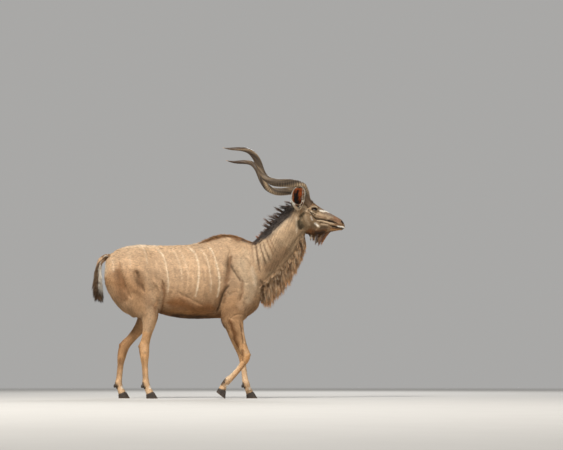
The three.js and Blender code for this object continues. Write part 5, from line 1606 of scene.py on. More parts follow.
def tuft_mesh(name, root, length, width, rise, draw):
    """Short tufts: each a thin blade of four faces that leaves the skin at a low angle along the lie."""
    count = len(root.points)
    sway = draw.normal(0, 0.16, (count, 1))
    lie = unit(root.lie + np.cross(root.normals, root.lie) * sway)
    across = unit(np.cross(root.normals, lie))
    long = (length * draw.uniform(0.75, 1.25, count))[:, None]
    wide = (width * draw.uniform(0.8, 1.25, count))[:, None]
    lift = (rise * draw.uniform(0.5, 1.5, count))[:, None]
    base = root.points - root.normals * 0.6
    tip = root.points + lie * long + root.normals * long * lift
    crest = root.points + lie * long * 0.3 + root.normals * (long * lift * 0.5 + wide * 0.32)
    points = np.stack([base - across * wide / 2, base + across * wide / 2, crest, tip], 1).reshape(-1, 3)
    first = np.arange(count)[:, None] * 4
    faces = np.concatenate([first + (0, 2, 1), first + (0, 3, 2), first + (1, 2, 3), first + (0, 1, 3)])
    mesh = mesh_of(name, metres(points), faces)
    shade = 1 + 0.22 * draw.normal(0, 1, count)
    dark = draw.uniform(0, 1, count) < 0.045 * root.size**2.4
    tint = root.colour * np.clip(np.where(dark, 0.45, shade), 0.4, 1.5)[:, None]
    spread = lambda values: np.repeat(values, 4, axis=0)
    soft = unit(spread(root.normals) * 0.8 + normals_of(mesh) * 0.35)
    mesh.normals_split_custom_set_from_vertices(soft)
    patch = np.array([(-1.5, -1.5), (1.5, -1.5), (0, 0), (0, 1.5)])
    set_hair_data(mesh, spread(tint), root.points, (0.0, 0.0, 0.4, 1.0), root.place, patch)
    return mesh


STRAND_PLACES = np.array([0.0, 0.3, 0.6, 0.84, 1.0])
STRAND_WIDTHS = np.array([0.85, 1.0, 0.8, 0.5])


def strand_mesh(name, lines, across, width, root_tint, tip_tint, place):
    """Long hair: strands of three-cornered section along lines of five points, ending in a point."""
    count = len(lines)
    run = unit(np.gradient(lines, axis=1))[:, :4]
    across = squared(across[:, None], run)
    ridge = np.cross(across, run)
    half = (width[:, None] * STRAND_WIDTHS / 2)[..., None]
    middle = lines[:, :4]
    corners = np.stack([middle - across * half, middle + across * half, middle + ridge * half * 0.9], 2)
    points = np.concatenate([corners.reshape(count, 12, 3), lines[:, 4:5]], 1).reshape(-1, 3)
    first = np.arange(count)[:, None] * 13
    pairs = [(k, (k + 1) % 3) for k in range(3)]
    edges = [(ring + k, ring + n) for ring in (0, 3, 6) for k, n in pairs]
    quads = [first + (a, b, b + 3, a + 3) for a, b in edges]
    tips = [first + (9 + k, 9 + n, 12) for k, n in pairs] + [first + (2, 1, 0)]
    mesh = mesh_of(name, metres(points), np.concatenate(quads), np.concatenate(tips))
    along = np.concatenate([np.repeat(STRAND_PLACES[:4], 3), [1.0]])
    tint = mix(root_tint[:, None], tip_tint[:, None], (along**1.4)[None, :, None]).reshape(-1, 3)
    aside = np.concatenate([np.tile((-1.0, 0.0, 1.0), 4), [0.0]])
    set_hair_data(mesh, tint, lines[:, 0], along, place, np.stack([aside * 1.5, (along - 0.5) * 3], -1))
    return mesh


def bent(start, bend, tip):
    """Lines of five points that leave the start towards the bend and end at the tip."""
    t = STRAND_PLACES[None, :, None]
    return start[:, None] * (1 - t) ** 2 + bend[:, None] * 2 * t * (1 - t) + tip[:, None] * t**2


def station(name):
    """The place of a named section along the trunk."""
    return list(TRUNK).index(name)


def on_trunk(place, angle):
    """Points on the trunk at sections and angles, and the ways straight out from its middle line."""
    rows = row_at(list(TRUNK.values()), place)
    skin = trunk_point(rows, angle, TRUNK_FORMS)
    return skin, unit(skin - trunk_point(rows, np.zeros(len(place)), TRUNK_FORMS) * (1, 0, 1))


def band(share, across):
    """Places on the unwrap of a band of long hair."""
    return np.stack([0.02 + 0.96 * share, across], -1)


def fewer(count):
    return count


class Hair:
    """A layer of long hair while it is made: its number of strands, its draws, its sizes and its colours."""

    def __init__(self, draw, count, material):
        self.coat, self.colours, _, _ = settings()
        self.draw, self.count, self.material = draw, count, material

    def between(self, low, high):
        return self.draw.uniform(low, high, self.count)

    def stray(self, spread=1.0):
        return self.draw.normal(0, spread, self.count)

    def ruffled(self, ways, spread):
        return unit(np.asarray(ways) + self.draw.normal(0, spread, (self.count, 3)))

    def upright(self, lie, out):
        return self.ruffled(np.cross(lie, out), 0.3)

    def width(self, share, low, high):
        return self.coat.strand_width / MM * share * self.between(low, high)

    def tints(self, *names, spread=0.18):
        """A colour for each strand, drawn between those named."""
        pool = np.array([getattr(self.colours, name) for name in names])
        share = self.between(0, len(names) - 1)
        low = np.minimum(share.astype(int), max(len(names) - 2, 0))
        high = np.minimum(low + 1, len(names) - 1)
        tint = mix(pool[low], pool[high], (share - low)[:, None])
        return tint * np.clip(1 + spread * self.stray(), 0.5, 1.6)[:, None]

    def trunk_roots(self, start, end, spread, middle_angle):
        """Roots along the back or throat: places between two sections and angles about a middle one."""
        place = self.between(start, end)
        share = (place - start) / (end - start)
        turn = np.clip(self.stray(0.5), -1, 1)
        skin, out = on_trunk(place, middle_angle + mix(*spread, share) * turn)
        return skin, out, share, turn

    def lines(self, roots, out, lie, long, rise, sunk, locks, pull, curl):
        """Lines that draw together in locks, and for each strand a tone that its lock shares."""
        rise = np.broadcast_to(rise, self.count)
        picks = self.draw.choice(self.count, size=min(locks, self.count), replace=False)
        tree = tree_of(roots[picks])
        nearest = np.array([tree.find(point)[1] for point in roots])
        own = picks[nearest]
        ends = roots[own] + out[own] * (long[own] * rise)[:, None] + lie[own] * (long[own] * 0.72)[:, None]
        ends = ends + self.draw.normal(0, 1, (self.count, 3)) * 3.5
        tone = np.clip(1 + 0.24 * self.draw.normal(0, 1, len(picks)), 0.5, 1.6)[nearest, None]
        pull = pull * self.draw.uniform(0.4, 1.0, (self.count, 1))
        return self.lines_to(ends, pull, roots, out, lie, long, rise, sunk, curl), tone

    def lines_to(self, ends, pull, roots, out, lie, long, rise, sunk, curl):
        """Lines that leave the skin along out, rise by a share of their length and bend over along lie."""
        t = STRAND_PLACES[None, :, None]
        long, rise = long[:, None], rise[:, None]
        bend = roots + out * long * rise * 0.7 + lie * long * 0.12
        tip = mix(roots + out * long * rise + lie * long * 0.72, ends, pull)
        way = unit(self.draw.normal(size=(self.count, 3)))[:, None]
        phase = self.draw.uniform(0, 2 * np.pi, (self.count, 1, 1))
        return bent(roots - out * sunk, bend, tip) + way * np.sin(t * 5.0 + phase) * t * curl * long[:, None]

    def show(self, name, lines, across, wide, roots, tips, place):
        show(name, strand_mesh(name, lines, across, wide, roots, tips, place), "coat", self.material)


# Settings that a user may change.
def length_property(name, text, millimetres):
    size = millimetres * MM
    kind = {"subtype": "DISTANCE", "unit": "LENGTH"}
    return FloatProperty(name=name, description=text, default=size, min=0.0, **kind)


def colour_property(name, text, tint):
    kind = {"subtype": "COLOR", "size": 3, "min": 0.0, "max": 1.0}
    return FloatVectorProperty(name=name, description=text, default=rgb(*tint), **kind)


class KuduCoatSettings(bpy.types.PropertyGroup):
    depth: length_property("Body depth", "How deep the coat lies on the body", 5)
    face_depth: length_property("Face depth", "How deep the coat lies on the face and lower legs", 2.4)
    tuft_length: length_property("Tuft length", "Length of the short tufts on the body", 17)
    tuft_width: length_property("Tuft width", "Width of the short tufts on the body", 2.8)
    tufts: IntProperty(name="Tufts", description="Short tufts on the whole animal", default=158000, min=0)
    mane_length: length_property("Mane length", "Longest hair of the mane on the neck", 92)
    withers_length: length_property("Withers length", "Longest hair on the withers", 66)
    fringe_length: length_property("Fringe length", "Longest hair of the throat fringe", 165)
    beard_length: length_property("Beard length", "Longest hair of the beard", 104)
    strand_width: length_property("Strand width", "Width of a strand of long hair", 3.0)


KuduColourSettings = type(
    "KuduColourSettings",
    (bpy.types.PropertyGroup,),
    {"__annotations__": {name: colour_property(name.title(), *row) for name, row in PALETTE.items()}},
)


class KuduHornSettings(bpy.types.PropertyGroup):
    ridge: length_property("Ridge height", "Height of the rings round the lower horn", 1.5)
    ring_pitch: length_property("Ring pitch", "Distance shade between the rings", 15)
    horn_dark: colour_property("Horn", "Main colour of the horns", (80, 66, 51))
    # The keel colour paints the keel paler, partly as wear and partly as a painted highlight, and the ridges
    # of the rings.
    horn_light: colour_property("Keel", "Worn, pale parts of the horns", (188, 162, 128))
    horn_tip: colour_property("Tip", "Colour of the tips", (206, 154, 98))
    hoof: colour_property("Hoof", "Colour of the hooves", (52, 44, 38))


class KuduStageSettings(bpy.types.PropertyGroup):
    distance: length_property("Camera distance", "From the camera to the animal", 12000)
    height: length_property("Camera height", "Height of the camera over the floor", 150)
    aim: length_property("Aim height", "Height that the camera looks at", 1500)
    lens: FloatProperty(name="Lens", description="Focal length in millimetres", default=88.6, min=10.0)


def settings():
    scene = bpy.context.scene
    return scene.kudu_coat, scene.kudu_colours, scene.kudu_horns, scene.kudu_stage


# The operators, one for each piece or group of like pieces.
class KUDU_OT_skin(bpy.types.Operator):
    """Builds the whole skin, with the ears, lids, lips and nostrils"""

    bl_idname = "kudu.skin"
    bl_label = "Skin"

    def execute(self, context):
        coat, colours, _, _ = settings()
        mesh = skin_shape(coat)
        hide = Hide(points_of(mesh), normals_of(mesh))
        add_attribute(mesh, "markings", "FLOAT_COLOR", coat_colour(hide, colours))
        add_attribute(mesh, "combed", "FLOAT_VECTOR", hide.combed * MM)
        add_attribute(mesh, "root", "FLOAT_VECTOR", metres(hide.points))
        add_attribute(mesh, "lie", "FLOAT_VECTOR", hide.lie)
        add_attribute(mesh, "place", "FLOAT_VECTOR", np.stack([hide.share, hide.angle, hide.region], -1))
        growth = np.stack([long_places(hide), off_eyes(hide), hide.size], -1)
        add_attribute(mesh, "growth", "FLOAT_VECTOR", growth)
        set_points(mesh, metres(hide.points))
        mesh.materials.clear()
        mesh.polygons.foreach_set("use_smooth", np.ones(len(mesh.polygons), bool))
        nodes = ["torso", "neck", "head", "tail", "ear_right", "ear_left"] + ["leg_" + name for name in LEGS]
        show("skin", mesh, "coat", skin_material(colours), *nodes)
        return {"FINISHED"}


def short_coat(name, pelt, kept, share, seed, fold=1.0):
    """A piece of the short coat on the places that are kept, as one joined mesh."""
    coat, _, _, _ = settings()
    weight = pelt.density() * kept
    bold = 1.0
    draw = np.random.default_rng(seed)
    root = pelt.roots(int(pelt.spread(weight).sum() * share), weight, draw)
    root.place[:, 1] = (root.place[:, 1] * fold) % 1
    length = coat.tuft_length / MM * root.size * root.longer
    width = coat.tuft_width / MM * root.size * np.sqrt(root.longer) * bold
    mesh = tuft_mesh(name, root, length, width, 0.15 * root.longer**0.5, draw)
    show(name, mesh, "coat", bpy.data.materials.get("kudu_hair") or hair_material("kudu_hair"))


LONG_PLACES = {
    "back": (
        "top", 60, 0.9, [(-940, 1250), (-700, 1320), (-400, 1320), (-150, 1350), (60, 1400), (250, 1360)],
    ),
    "belly": ("under", 70, 0.5, [(-480, 730), (-100, 690), (240, 720)]),
    "breast": ("any", 60, 1.1, [(240, 720), (330, 780), (380, 860)]),
    "thigh back": ("any", 40, 0.7, [(-980, 1080), (-940, 940), (-830, 820), (-700, 720)]),
    "elbow": ("any", 40, 0.8, [(-20, 760), (40, 700), (70, 620)]),
    "throat": ("any", 60, 1.2, [(400, 900), (540, 1040), (660, 1190), (720, 1330)]),
    "jaw": ("any", 26, 1.0, [(730, 1440), (820, 1415), (920, 1420)]),
    "neck top": ("any", 50, 0.8, [(350, 1390), (500, 1530), (640, 1670)]),
    "fetlock": ("any", 26, 0.9, [(40, 118), (70, 150)]),
    "fetlock left": ("any", 26, 0.9, [(215, 92), (220, 124)]),
    "hind fetlock": ("any", 26, 0.9, [(-640, 122), (-640, 90)]),
    "hind fetlock left": ("any", 26, 0.9, [(-900, 124), (-890, 92)]),
}


def long_places(hide):
    """How many times as long as usual the short coat is at each point."""
    out = np.ones(len(hide.points))
    for mark in LONG_PLACES.values():
        out = np.maximum(out, 1 + mark[2] * hide.covered(mark))
    return out


def off_eyes(hide):
    """Nothing grows in the eyes, the nostrils and the mouth."""
    keep = np.ones(len(hide.points))
    for side in (RIGHT, LEFT):
        a, b = eye_places(hide.points, side)
        own = hide.points[:, 1] * side > 20
        keep *= np.where(own, smooth(np.hypot(a / 1.6, b), 12, 17), 1)
        away, _ = near_line(hide.points, nostril_line(side))
        keep *= smooth(away, 8, 12)
    keep *= 1 - hide.covered(FACE_MARKS["mouth line"])
    keep *= 1 - 0.9 * hide.covered(FACE_MARKS["nose leather"])
    return keep


class KUDU_OT_short_coat(bpy.types.Operator):
    """Sets the short tufts on the body, the legs, the head and the ears"""

    bl_idname = "kudu.short_coat"
    bl_label = "Short coat"

    def execute(self, context):
        pelt = Pelt(bpy.data.objects["skin"])
        share = settings()[0].tufts / pelt.spread(pelt.density()).sum() / 1
        x, y, region = pelt.points[:, 0], pelt.points[:, 1], pelt.region
        trunk = region == 0
        for i, (name, side) in enumerate(SIDES.items()):
            own = trunk * (y * side > 0)
            short_coat(f"coat_rump_{name}", pelt, own * (x < -330), share, 21 + i, 2.0)
            short_coat(f"coat_side_{name}", pelt, own * (x >= -330) * (x < 300), share, 23 + i, 2.0)
        short_coat("coat_neck", pelt, trunk * (x >= 300), share, 27)
        short_coat("coat_legs", pelt, (region >= 2) & (region <= 5), share, 31)
        short_coat("coat_head", pelt, region == 1, share, 41)
        short_coat("coat_ears_and_tail", pelt, region >= 6, share, 51)
        return {"FINISHED"}


def mane_bed(hair):
    """The flat dark hair of the mane, which falls back and down on both sides of the neck."""
    start, end = station("breast") - 0.35, station("skull") - 0.3
    skin, out, share, turn = hair.trunk_roots(start, end, (0.4, 0.92), np.pi / 2)
    swell = np.interp(share, [0, 0.2, 0.4, 0.8, 1], [0.4, 0.62, 1, 1, 0.6])
    long = hair.coat.mane_length / MM * 0.56 * swell * hair.between(0.7, 1.1)
    lie = hair.ruffled((-0.66, 0, -0.5), 0.1)
    rise = mix(0.26, 0.06, smooth(np.abs(turn), 0, 0.7))
    lines, tone = hair.lines(skin, out, lie, long, rise, 7, 300, 0.5, 0.03)
    wide = hair.width(1, 0.6, 1.1)
    roots = hair.tints("soot", "peat") * tone
    tips = hair.tints("soot", "slate", "peat") * tone
    warm = (0.8 * ((1 - smooth(share, 0.05, 0.3)) * hair.between(0.2, 1)))[:, None]
    roots, tips = (mix(tint, hair.tints("umber", "tawny"), warm) for tint in (roots, tips))
    hair.show("mane_bed", lines, hair.upright(lie, out), wide, roots, tips, band(share, 0.5 + 0.45 * turn))


def mane_spikes(hair):
    """Ragged locks that stand out of the mane, each drawn to its own tip."""
    draw, count, locks = hair.draw, hair.count, 30
    start, reach = 0.25, 0.72
    lock = draw.integers(0, locks, count)
    inner = hair.stray()
    foot = np.sort(draw.uniform(-0.75, 0.75, locks) + np.arange(locks))
    share = start + reach * (foot[lock] + 0.5 + 0.34 * inner) / locks
    turn = np.clip(draw.normal(0, 0.5, locks)[lock] * 0.6 + 0.25 * hair.stray(), -1, 1)
    place = mix(station("breast") - 0.1, station("skull") - 0.3, np.clip(share, 0, 1))
    skin, out = on_trunk(place, np.pi / 2 + 0.3 * turn)
    feet = start + reach * np.arange(locks) / locks
    size = draw.uniform(0.62, 1.34, locks)
    size = size * np.interp(feet, [0.25, 0.42, 0.55, 0.9, 1], [0.36, 0.5, 0.95, 1, 0.7])
    longest = hair.coat.mane_length / MM * size
    long = longest[lock] * hair.between(0.6, 1.0)
    back, aside = draw.uniform(-0.98, -0.6, locks), draw.normal(0, 0.2, locks)
    way = np.stack([back, aside, draw.uniform(-0.3, 0.2, locks)], -1)
    lie = hair.ruffled(way[lock], 0.07)
    rise = draw.uniform(0.26, 0.56, locks)[lock] + hair.stray(0.05)
    first = [np.flatnonzero(lock == i)[0] if np.any(lock == i) else 0 for i in range(locks)]
    middle = np.stack([skin[lock == i].mean(0) if np.any(lock == i) else skin[0] for i in range(locks)])
    tip = middle + out[first] * rise[first][:, None] * longest[:, None] + unit(way) * longest[:, None] * 0.74
    ends = tip[lock] + draw.normal(0, 8, (count, 3))
    pull = draw.uniform(0.05, 0.8, (count, 1)) * (long / longest[lock])[:, None]
    lines = hair.lines_to(ends, pull, skin, out, lie, long, rise, 7, 0.02)
    wide = hair.width(0.55, 0.5, 1.1)
    tone = draw.uniform(0.8, 1.7, locks)[lock, None]
    roots = hair.tints("soot", "peat") * tone
    tips = hair.tints("peat", "umber", "soot", "slate") * tone
    warm = (share < 0.36) | (hair.between(0, 1) < 0.04)
    tips = mix(tips, hair.tints("amber", "ember"), 0.75 * warm[:, None])
    hair.show("mane_spikes", lines, hair.upright(lie, out), wide, roots, tips, band(share, 0.5 + 0.45 * turn))


def withers_mane(hair):
    """The low mane over the withers, pale where it starts."""
    start, end = station("barrel") + 0.55, station("neck_root") - 0.4
    skin, out, share, turn = hair.trunk_roots(start, end, (0.3, 0.3), np.pi / 2)
    swell = np.interp(share, [0, 0.14, 0.3, 0.7, 0.85, 1], [0.3, 0.5, 0.95, 1, 0.6, 0.35])
    long = hair.coat.withers_length / MM * swell * hair.between(0.55, 1.1)
    lie = hair.ruffled((-0.95, 0, -0.12), 0.12)
    lines, tone = hair.lines(skin, out, lie, long, 0.3, 6, 80, 0.65, 0.03)
    wide = hair.width(0.8, 0.6, 1.2)
    pale = 0.8 * (share + 0.05 * hair.stray() < 0.16)[:, None]
    roots = mix(hair.tints("umber", "tawny"), hair.tints("cream", "sand"), pale) * tone
    tips = mix(hair.tints("peat", "umber", "tawny", "amber"), hair.tints("cream", "dust"), pale) * tone
    place = band(share, 0.5 + 0.45 * turn)
    hair.show("withers_mane", lines, hair.upright(lie, out), wide, roots, tips, place)


class KUDU_OT_manes(bpy.types.Operator):
    """Sets the long hair of the neck's mane and of the withers"""

    bl_idname = "kudu.manes"
    bl_label = "Manes"

    def execute(self, context):
        material = hair_material("kudu_mane", 0.5)
        draw = np.random.default_rng(61)
        for layer, count in ((mane_bed, 4300), (mane_spikes, 1800), (withers_mane, 2700)):
            layer(Hair(draw, fewer(count), material))
        return {"FINISHED"}


# The beard: shares of the way along the jaw, the tips' places and lengths there, and the locks' colours.
BEARD = {
    "share": (0, 0.15, 0.3, 0.6, 0.75, 0.88, 1),
    "tip": (782, 800, 822, 862, 880, 893, 925),
    "long": (38, 62, 78, 98, 112, 104, 52),
    "colours": ("slate", "dust", "umber", "cream", "peat", "smoke", "umber"),
}


class KUDU_OT_fringe(bpy.types.Operator):
    """Hangs the fringe down the throat"""

    bl_idname = "kudu.fringe"
    bl_label = "Fringe"

    def execute(self, context):
        hair = Hair(np.random.default_rng(71), fewer(10800), hair_material("kudu_fringe", 0.52))
        start, end = station("breast") + 0.85, station("poll") + 0.1
        skin, out, share, turn = hair.trunk_roots(start, end, (0.92, 0.56), -np.pi / 2)
        aside = np.abs(turn)
        swell = np.interp(share, [0, 0.06, 0.15, 0.5, 1], [0.2, 0.6, 1, 0.86, 0.62])
        swell = hair.coat.fringe_length / MM * swell * mix(1, 0.26, smooth(aside, 0.2, 1))
        long = swell * hair.between(0.5, 1.05)
        lie = hair.ruffled((-0.05, 0, -1), 0.1)
        rise = mix(0.42, 0.07, smooth(aside, 0, 0.8))
        lines, tone = hair.lines(skin, out, lie, long, rise, 8, 420, 0.72, 0.05)
        wide = hair.width(0.8, 0.6, 1.2)
        patchy = ripple(skin, 60, 75) + 0.7 * ripple(skin, 24, 76) + 0.3 * hair.stray()
        dark = 0.7 * smooth(patchy, -0.1, 1.1)[:, None]
        roots = mix(hair.tints("dust", "tawny", "smoke"), hair.tints("peat", "umber"), dark) * tone
        tips = mix(hair.tints("sand", "cream", "amber", "bloom"), hair.tints("peat", "umber"), dark)
        rim = (0.85 * (1 - smooth(aside, 0.06, 0.36)))[:, None]
        tips = mix(tips, hair.tints("amber", "honey"), rim) * tone
        rows = lines, hair.upright(lie, out), wide, roots, tips, band(share, 0.5 + 0.45 * turn)
        for name, own in (("throat_fringe_low", share < 0.5), ("throat_fringe_high", share >= 0.5)):
            hair.show(name, *(row[own] for row in rows))
        return {"FINISHED"}


class KUDU_OT_beard(bpy.types.Operator):
    """Hangs the beard under the jaw, in locks of their own colours"""

    bl_idname = "kudu.beard"
    bl_label = "Beard"

    def execute(self, context):
        draw, locks = np.random.default_rng(72), 24
        hair = Hair(draw, fewer(1900), hair_material("kudu_beard", 0.52))
        foot = (np.arange(locks) + draw.uniform(0.2, 0.8, locks)) / locks
        thick = draw.uniform(0.6, 1.4, locks) * np.interp(foot, [0, 0.3, 0.6, 1], [0.5, 0.7, 1.2, 1])
        lock = draw.choice(locks, hair.count, p=thick / thick.sum())
        t = np.clip(foot[lock] + hair.stray(0.03), 0, 1)
        aside = draw.normal(0, 1, locks)[lock] * 0.8 + hair.stray(0.5)
        x = mix(768, 985, t)
        low = np.interp(x, [740, 820, 900, 962, 985], [1453, 1423, 1423, 1444, 1451])
        skin = np.stack([x, aside * 11, low], -1)
        tip_x, long = (np.interp(foot[lock], BEARD["share"], BEARD[key]) for key in ("tip", "long"))
        size = draw.uniform(0.72, 1.12, locks)[lock] * hair.coat.beard_length / MM / 100
        tip_x = tip_x + draw.normal(0, 6, locks)[lock]
        tip = np.stack([tip_x, aside * 6, low - long * size * hair.between(0.6, 1.0)], -1)
        tip += draw.normal(0, 1, (hair.count, 3)) * (2.4, 2.4, 1)
        bend = mix(skin, tip, 0.45)
        bend += np.stack([7 * (1 - t) + draw.normal(0, 4, locks)[lock], 0 * t, 0 * t - 8], -1)
        lines = bent(skin + (0, 0, 9), bend, tip)
        wide = hair.width(0.42, 0.6, 1.4)
        pool = np.array([getattr(hair.colours, name) for name in BEARD["colours"]])
        own = pool[(np.arange(locks) * 3 + 1) % len(pool)][lock] * draw.uniform(0.8, 1.2, (hair.count, 1))
        warm = 0.75 * smooth(foot[lock], 0.55, 0.8)[:, None]
        tips = mix(own, hair.tints("amber", "ember", "peat"), warm)
        roots = mix(hair.tints("peat", "umber"), own, 0.3)
        place = band(t, 0.5 + np.clip(skin[:, 1] / 80, -0.48, 0.48))
        across = hair.upright(unit(tip - skin), np.array((0, 1, 0)) + 0 * skin)
        hair.show("beard", lines, across, wide, roots, tips, place)
        return {"FINISHED"}


def lashes(hair, name, side):
    """Lashes along the upper lid."""
    look, fore, up, at = eye_frame(side)
    t = hair.between(-0.9, 0.95)
    a = LIDS["wide"] * t - LIDS["back"]
    b = LIDS["above"] * (1 - np.abs(t) ** 1.8) ** 0.8 + 1.2
    c = np.sqrt(np.maximum((EYE["radius"] + 3.2) ** 2 - a**2 - b**2, 60))
    root = at + a[:, None] * fore + b[:, None] * up + c[:, None] * look
    way = hair.ruffled(look * 0.9 + up * 0.28 + fore * (0.5 * t)[:, None], 0.08)
    tip = root + way * hair.between(8, 14)[:, None] - up * 1.5
    lines = bent(root - way * 2, mix(root, tip, 0.5) - up * 2.0, tip)
    black = hair.tints("black", "peat")
    place = np.stack([0.5 + 0.45 * t, 0 * t + 0.5], -1)
    across = hair.upright(way, up + 0 * way)
    hair.show(f"lashes_{name}", lines, across, np.full(hair.count, 0.9), black, black, place)


def horn_root_hair(hair, name, side, pelt):
    """Short hair that stands up against the foot of a horn."""
    base, _ = horn_point(np.array((4.0, 40.0)))
    run = unit(base[1] - base[0]) * (1, side, 1)
    off = pelt.points - base[0] * (1, side, 1)
    away = np.linalg.norm(off - (off @ run)[:, None] * run, axis=1)
    grown = bell(away, 44, 9) * (pelt.points[:, 2] > 1655) * (np.abs(off @ run) < 60)
    roots = pelt.roots(hair.count, grown, hair.draw)
    lie = hair.ruffled(roots.lie * 0.5 + run * 0.7, 0.16)
    lines, tone = hair.lines(roots.points, roots.normals, lie, hair.between(12, 26), 0.3, 2, 90, 0.6, 0.04)
    tint = roots.colour * hair.draw.uniform(0.6, 1.3, (hair.count, 1))
    tips = mix(tint, hair.tints("sand", "dust", "umber"), 0.7) * tone
    wide = hair.width(0.5, 0.6, 1.2)
    flat = hair.upright(lie, roots.normals)
    hair.show(f"horn_root_hair_{name}", lines, flat, wide, tint, tips, roots.place)


class KUDU_OT_fine_hair(bpy.types.Operator):
    """Sets the lashes and the hair that stands round the roots of the horns"""

    bl_idname = "kudu.fine_hair"
    bl_label = "Lashes and horn roots"

    def execute(self, context):
        material = hair_material("kudu_fine_hair", 0.5)
        pelt = Pelt(bpy.data.objects["skin"])
        for name, side in SIDES.items():
            draw = np.random.default_rng(101 + side)
            lashes(Hair(draw, 130, material), name, side)
            horn_root_hair(Hair(draw, fewer(1150), material), name, side, pelt)
        return {"FINISHED"}


class KUDU_OT_tail_hair(bpy.types.Operator):
    """Sets the long hair of the tail"""

    bl_idname = "kudu.tail_hair"
    bl_label = "Tail hair"

    def execute(self, context):
        hair = Hair(np.random.default_rng(81), fewer(2700), hair_material("kudu_tail_hair", 0.55))
        share = hair.between(0.03, 1) ** 0.8
        places = (share, np.minimum(share + 0.02, 1.0), share - 0.02)
        rows, ahead, before = (row_at(TAIL_ROWS, place * (len(TAIL_ROWS) - 1)) for place in places)
        down = unit((ahead - before)[:, :3])
        angle = hair.between(0, 2 * np.pi)
        back = np.stack([-np.abs(down[:, 2]), 0 * share, down[:, 0]], -1)
        out = unit(back * np.cos(angle)[:, None] + np.array((0, 1, 0)) * np.sin(angle)[:, None])
        skin = rows[:, :3] + out * (rows[:, 3] * 0.85)[:, None]
        long = mix(22, 112, smooth(share, 0.15, 0.75)) * hair.between(0.7, 1.1)
        lie = hair.ruffled(down + out * 0.08, 0.06)
        rise = mix(0.12, 0.26, smooth(share, 0.3, 0.8))
        lines, tone = hair.lines(skin, out, lie, long, rise, 4, 70, 0.6, 0.03)
        wide = hair.width(0.8, 0.7, 1.3)
        white = (smooth(-np.cos(angle), 0.1, 0.7) * (1 - smooth(share, 0.8, 0.95)))[:, None]
        roots = mix(hair.tints("smoke", "umber"), hair.tints("bone", spread=0.08), white)
        dark = smooth(share, 0.55, 0.95)[:, None]
        tips = mix(hair.tints("smoke", "soot") * tone, hair.tints("bone", spread=0.08), white)
        tips = mix(tips, hair.tints("peat", "black"), dark)
        place = band(share, 0.02 + 0.96 * angle / (2 * np.pi))
        hair.show("tail_hair", lines, hair.upright(lie, out), wide, roots, tips, place)
        return {"FINISHED"}


class KUDU_OT_ear_hair(bpy.types.Operator):
    """Sets the hair inside the ears and round their rims"""

    bl_idname = "kudu.ear_hair"
    bl_label = "Ear hair"

    def execute(self, context):
        material = hair_material("kudu_ear_hair", 0.55)
        for name, side in SIDES.items():
            hair = Hair(np.random.default_rng(91 + side), fewer(1000), material)
            up, open_way, fore, _ = ear_frame(side)
            s = hair.between(0.3, 0.92)
            edge = np.where(hair.between(0, 1) < 0.62, 1.0, -1.0)
            t = edge * hair.between(0.6, 0.95)
            skin = ear_point(side, s, t * 0.955, EAR["wall"] - 0.5, 1)
            inward = unit(-fore * edge[:, None] * 0.8 + open_way * 0.35 + up * 0.25)
            tuft = (edge > 0) * (1 - smooth(s, 0.5, 0.72))
            long = mix(hair.between(8, 18), hair.between(20, 40), tuft) * mix(1.1, 0.6, smooth(s, 0.6, 0.9))
            lie = hair.ruffled(inward, 0.2)
            out = unit(open_way - fore * edge[:, None] * 0.6)
            lines, tone = hair.lines(skin, out, lie, long, 0.2, 2, 70, 0.6, 0.05)
            wide = hair.width(0.45, 0.7, 1.3)
            tuft = tuft[:, None]
            roots = mix(hair.tints("ember", "umber"), hair.tints("dust"), tuft)
            tips = mix(hair.tints("amber", "dust"), hair.tints("cream", "bone", "dust"), tuft) * tone
            place = band(s, 0.5 + 0.48 * t)
            hair.show(f"ear_hair_{name}", lines, hair.upright(lie, out), wide, roots, tips, place)
        return {"FINISHED"}


# Eyes.
CORNEA = 0.055  # how far the cornea stands out, as a share of the radius
PUPIL = (9.5, 5.2)


def eye_mesh(name, side):
    """An eyeball with a cornea that stands out, and a long pupil that lies level."""
    look, fore, up, at = eye_frame(side)
    polar, shape = ball(40, 64)
    radius = EYE["radius"] * (1 + CORNEA * (1 - smooth(polar, 0.35, 0.75)))
    points, quads, caps = loft(shape * radius[:, None, None])
    points[-2] = (0, 0, EYE["radius"] * (1 + CORNEA))
    points[-1] = (0, 0, -EYE["radius"])
    placed = at + points[:, :1] * fore + points[:, 1:2] * up + points[:, 2:] * look
    mesh = mesh_of(name, metres(placed), quads, caps)
    add_attribute(mesh, "out_of_middle", "FLOAT", np.hypot(points[:, 0], points[:, 1]) / EYE["radius"])
    add_attribute(mesh, "pupil", "FLOAT", np.hypot(points[:, 0] / PUPIL[0], points[:, 1] / PUPIL[1]))
    add_attribute(mesh, "iris_place", "FLOAT_VECTOR", points * MM)
    if side > 0:
        mesh.flip_normals()
    return mesh


class KUDU_OT_eyes(bpy.types.Operator):
    """Sets the two eyes"""

    bl_idname = "kudu.eyes"
    bl_label = "Eyes"

    def execute(self, context):
        web = Web("kudu_eye", 0.07, 0.25, **{"Coat Weight": 0.25, "Coat Roughness": 0.03})
        place = web.attribute("iris_place", "Vector")
        rays = web.noise(web.stretched(place, 240, 240, 20), 1.0, 3.0)
        iris = web.blend(rays, TINTS["iris"], TINTS["iris ray"])
        edge = web.attribute("out_of_middle").above(0.56, 0.68)
        colour = web.blend(edge, iris, TINTS["white of the eye"])
        colour = web.blend(1 - web.attribute("pupil").above(0.86, 1.0), colour, TINTS["pupil"])
        material = web.finish(Base_Color=colour)
        for name, side in SIDES.items():
            show(f"eyeball_{name}", eye_mesh(f"eyeball_{name}", side), "eye", material, f"eye_{name}")
        return {"FINISHED"}


# Horns.
def started(t):
    """A rise from 0 to 1 that starts at full slope."""
    x = np.clip(t, 0, 1)
    return 0.75 * x * (1 - x) ** 2 + x * x * (3 - 2 * x)


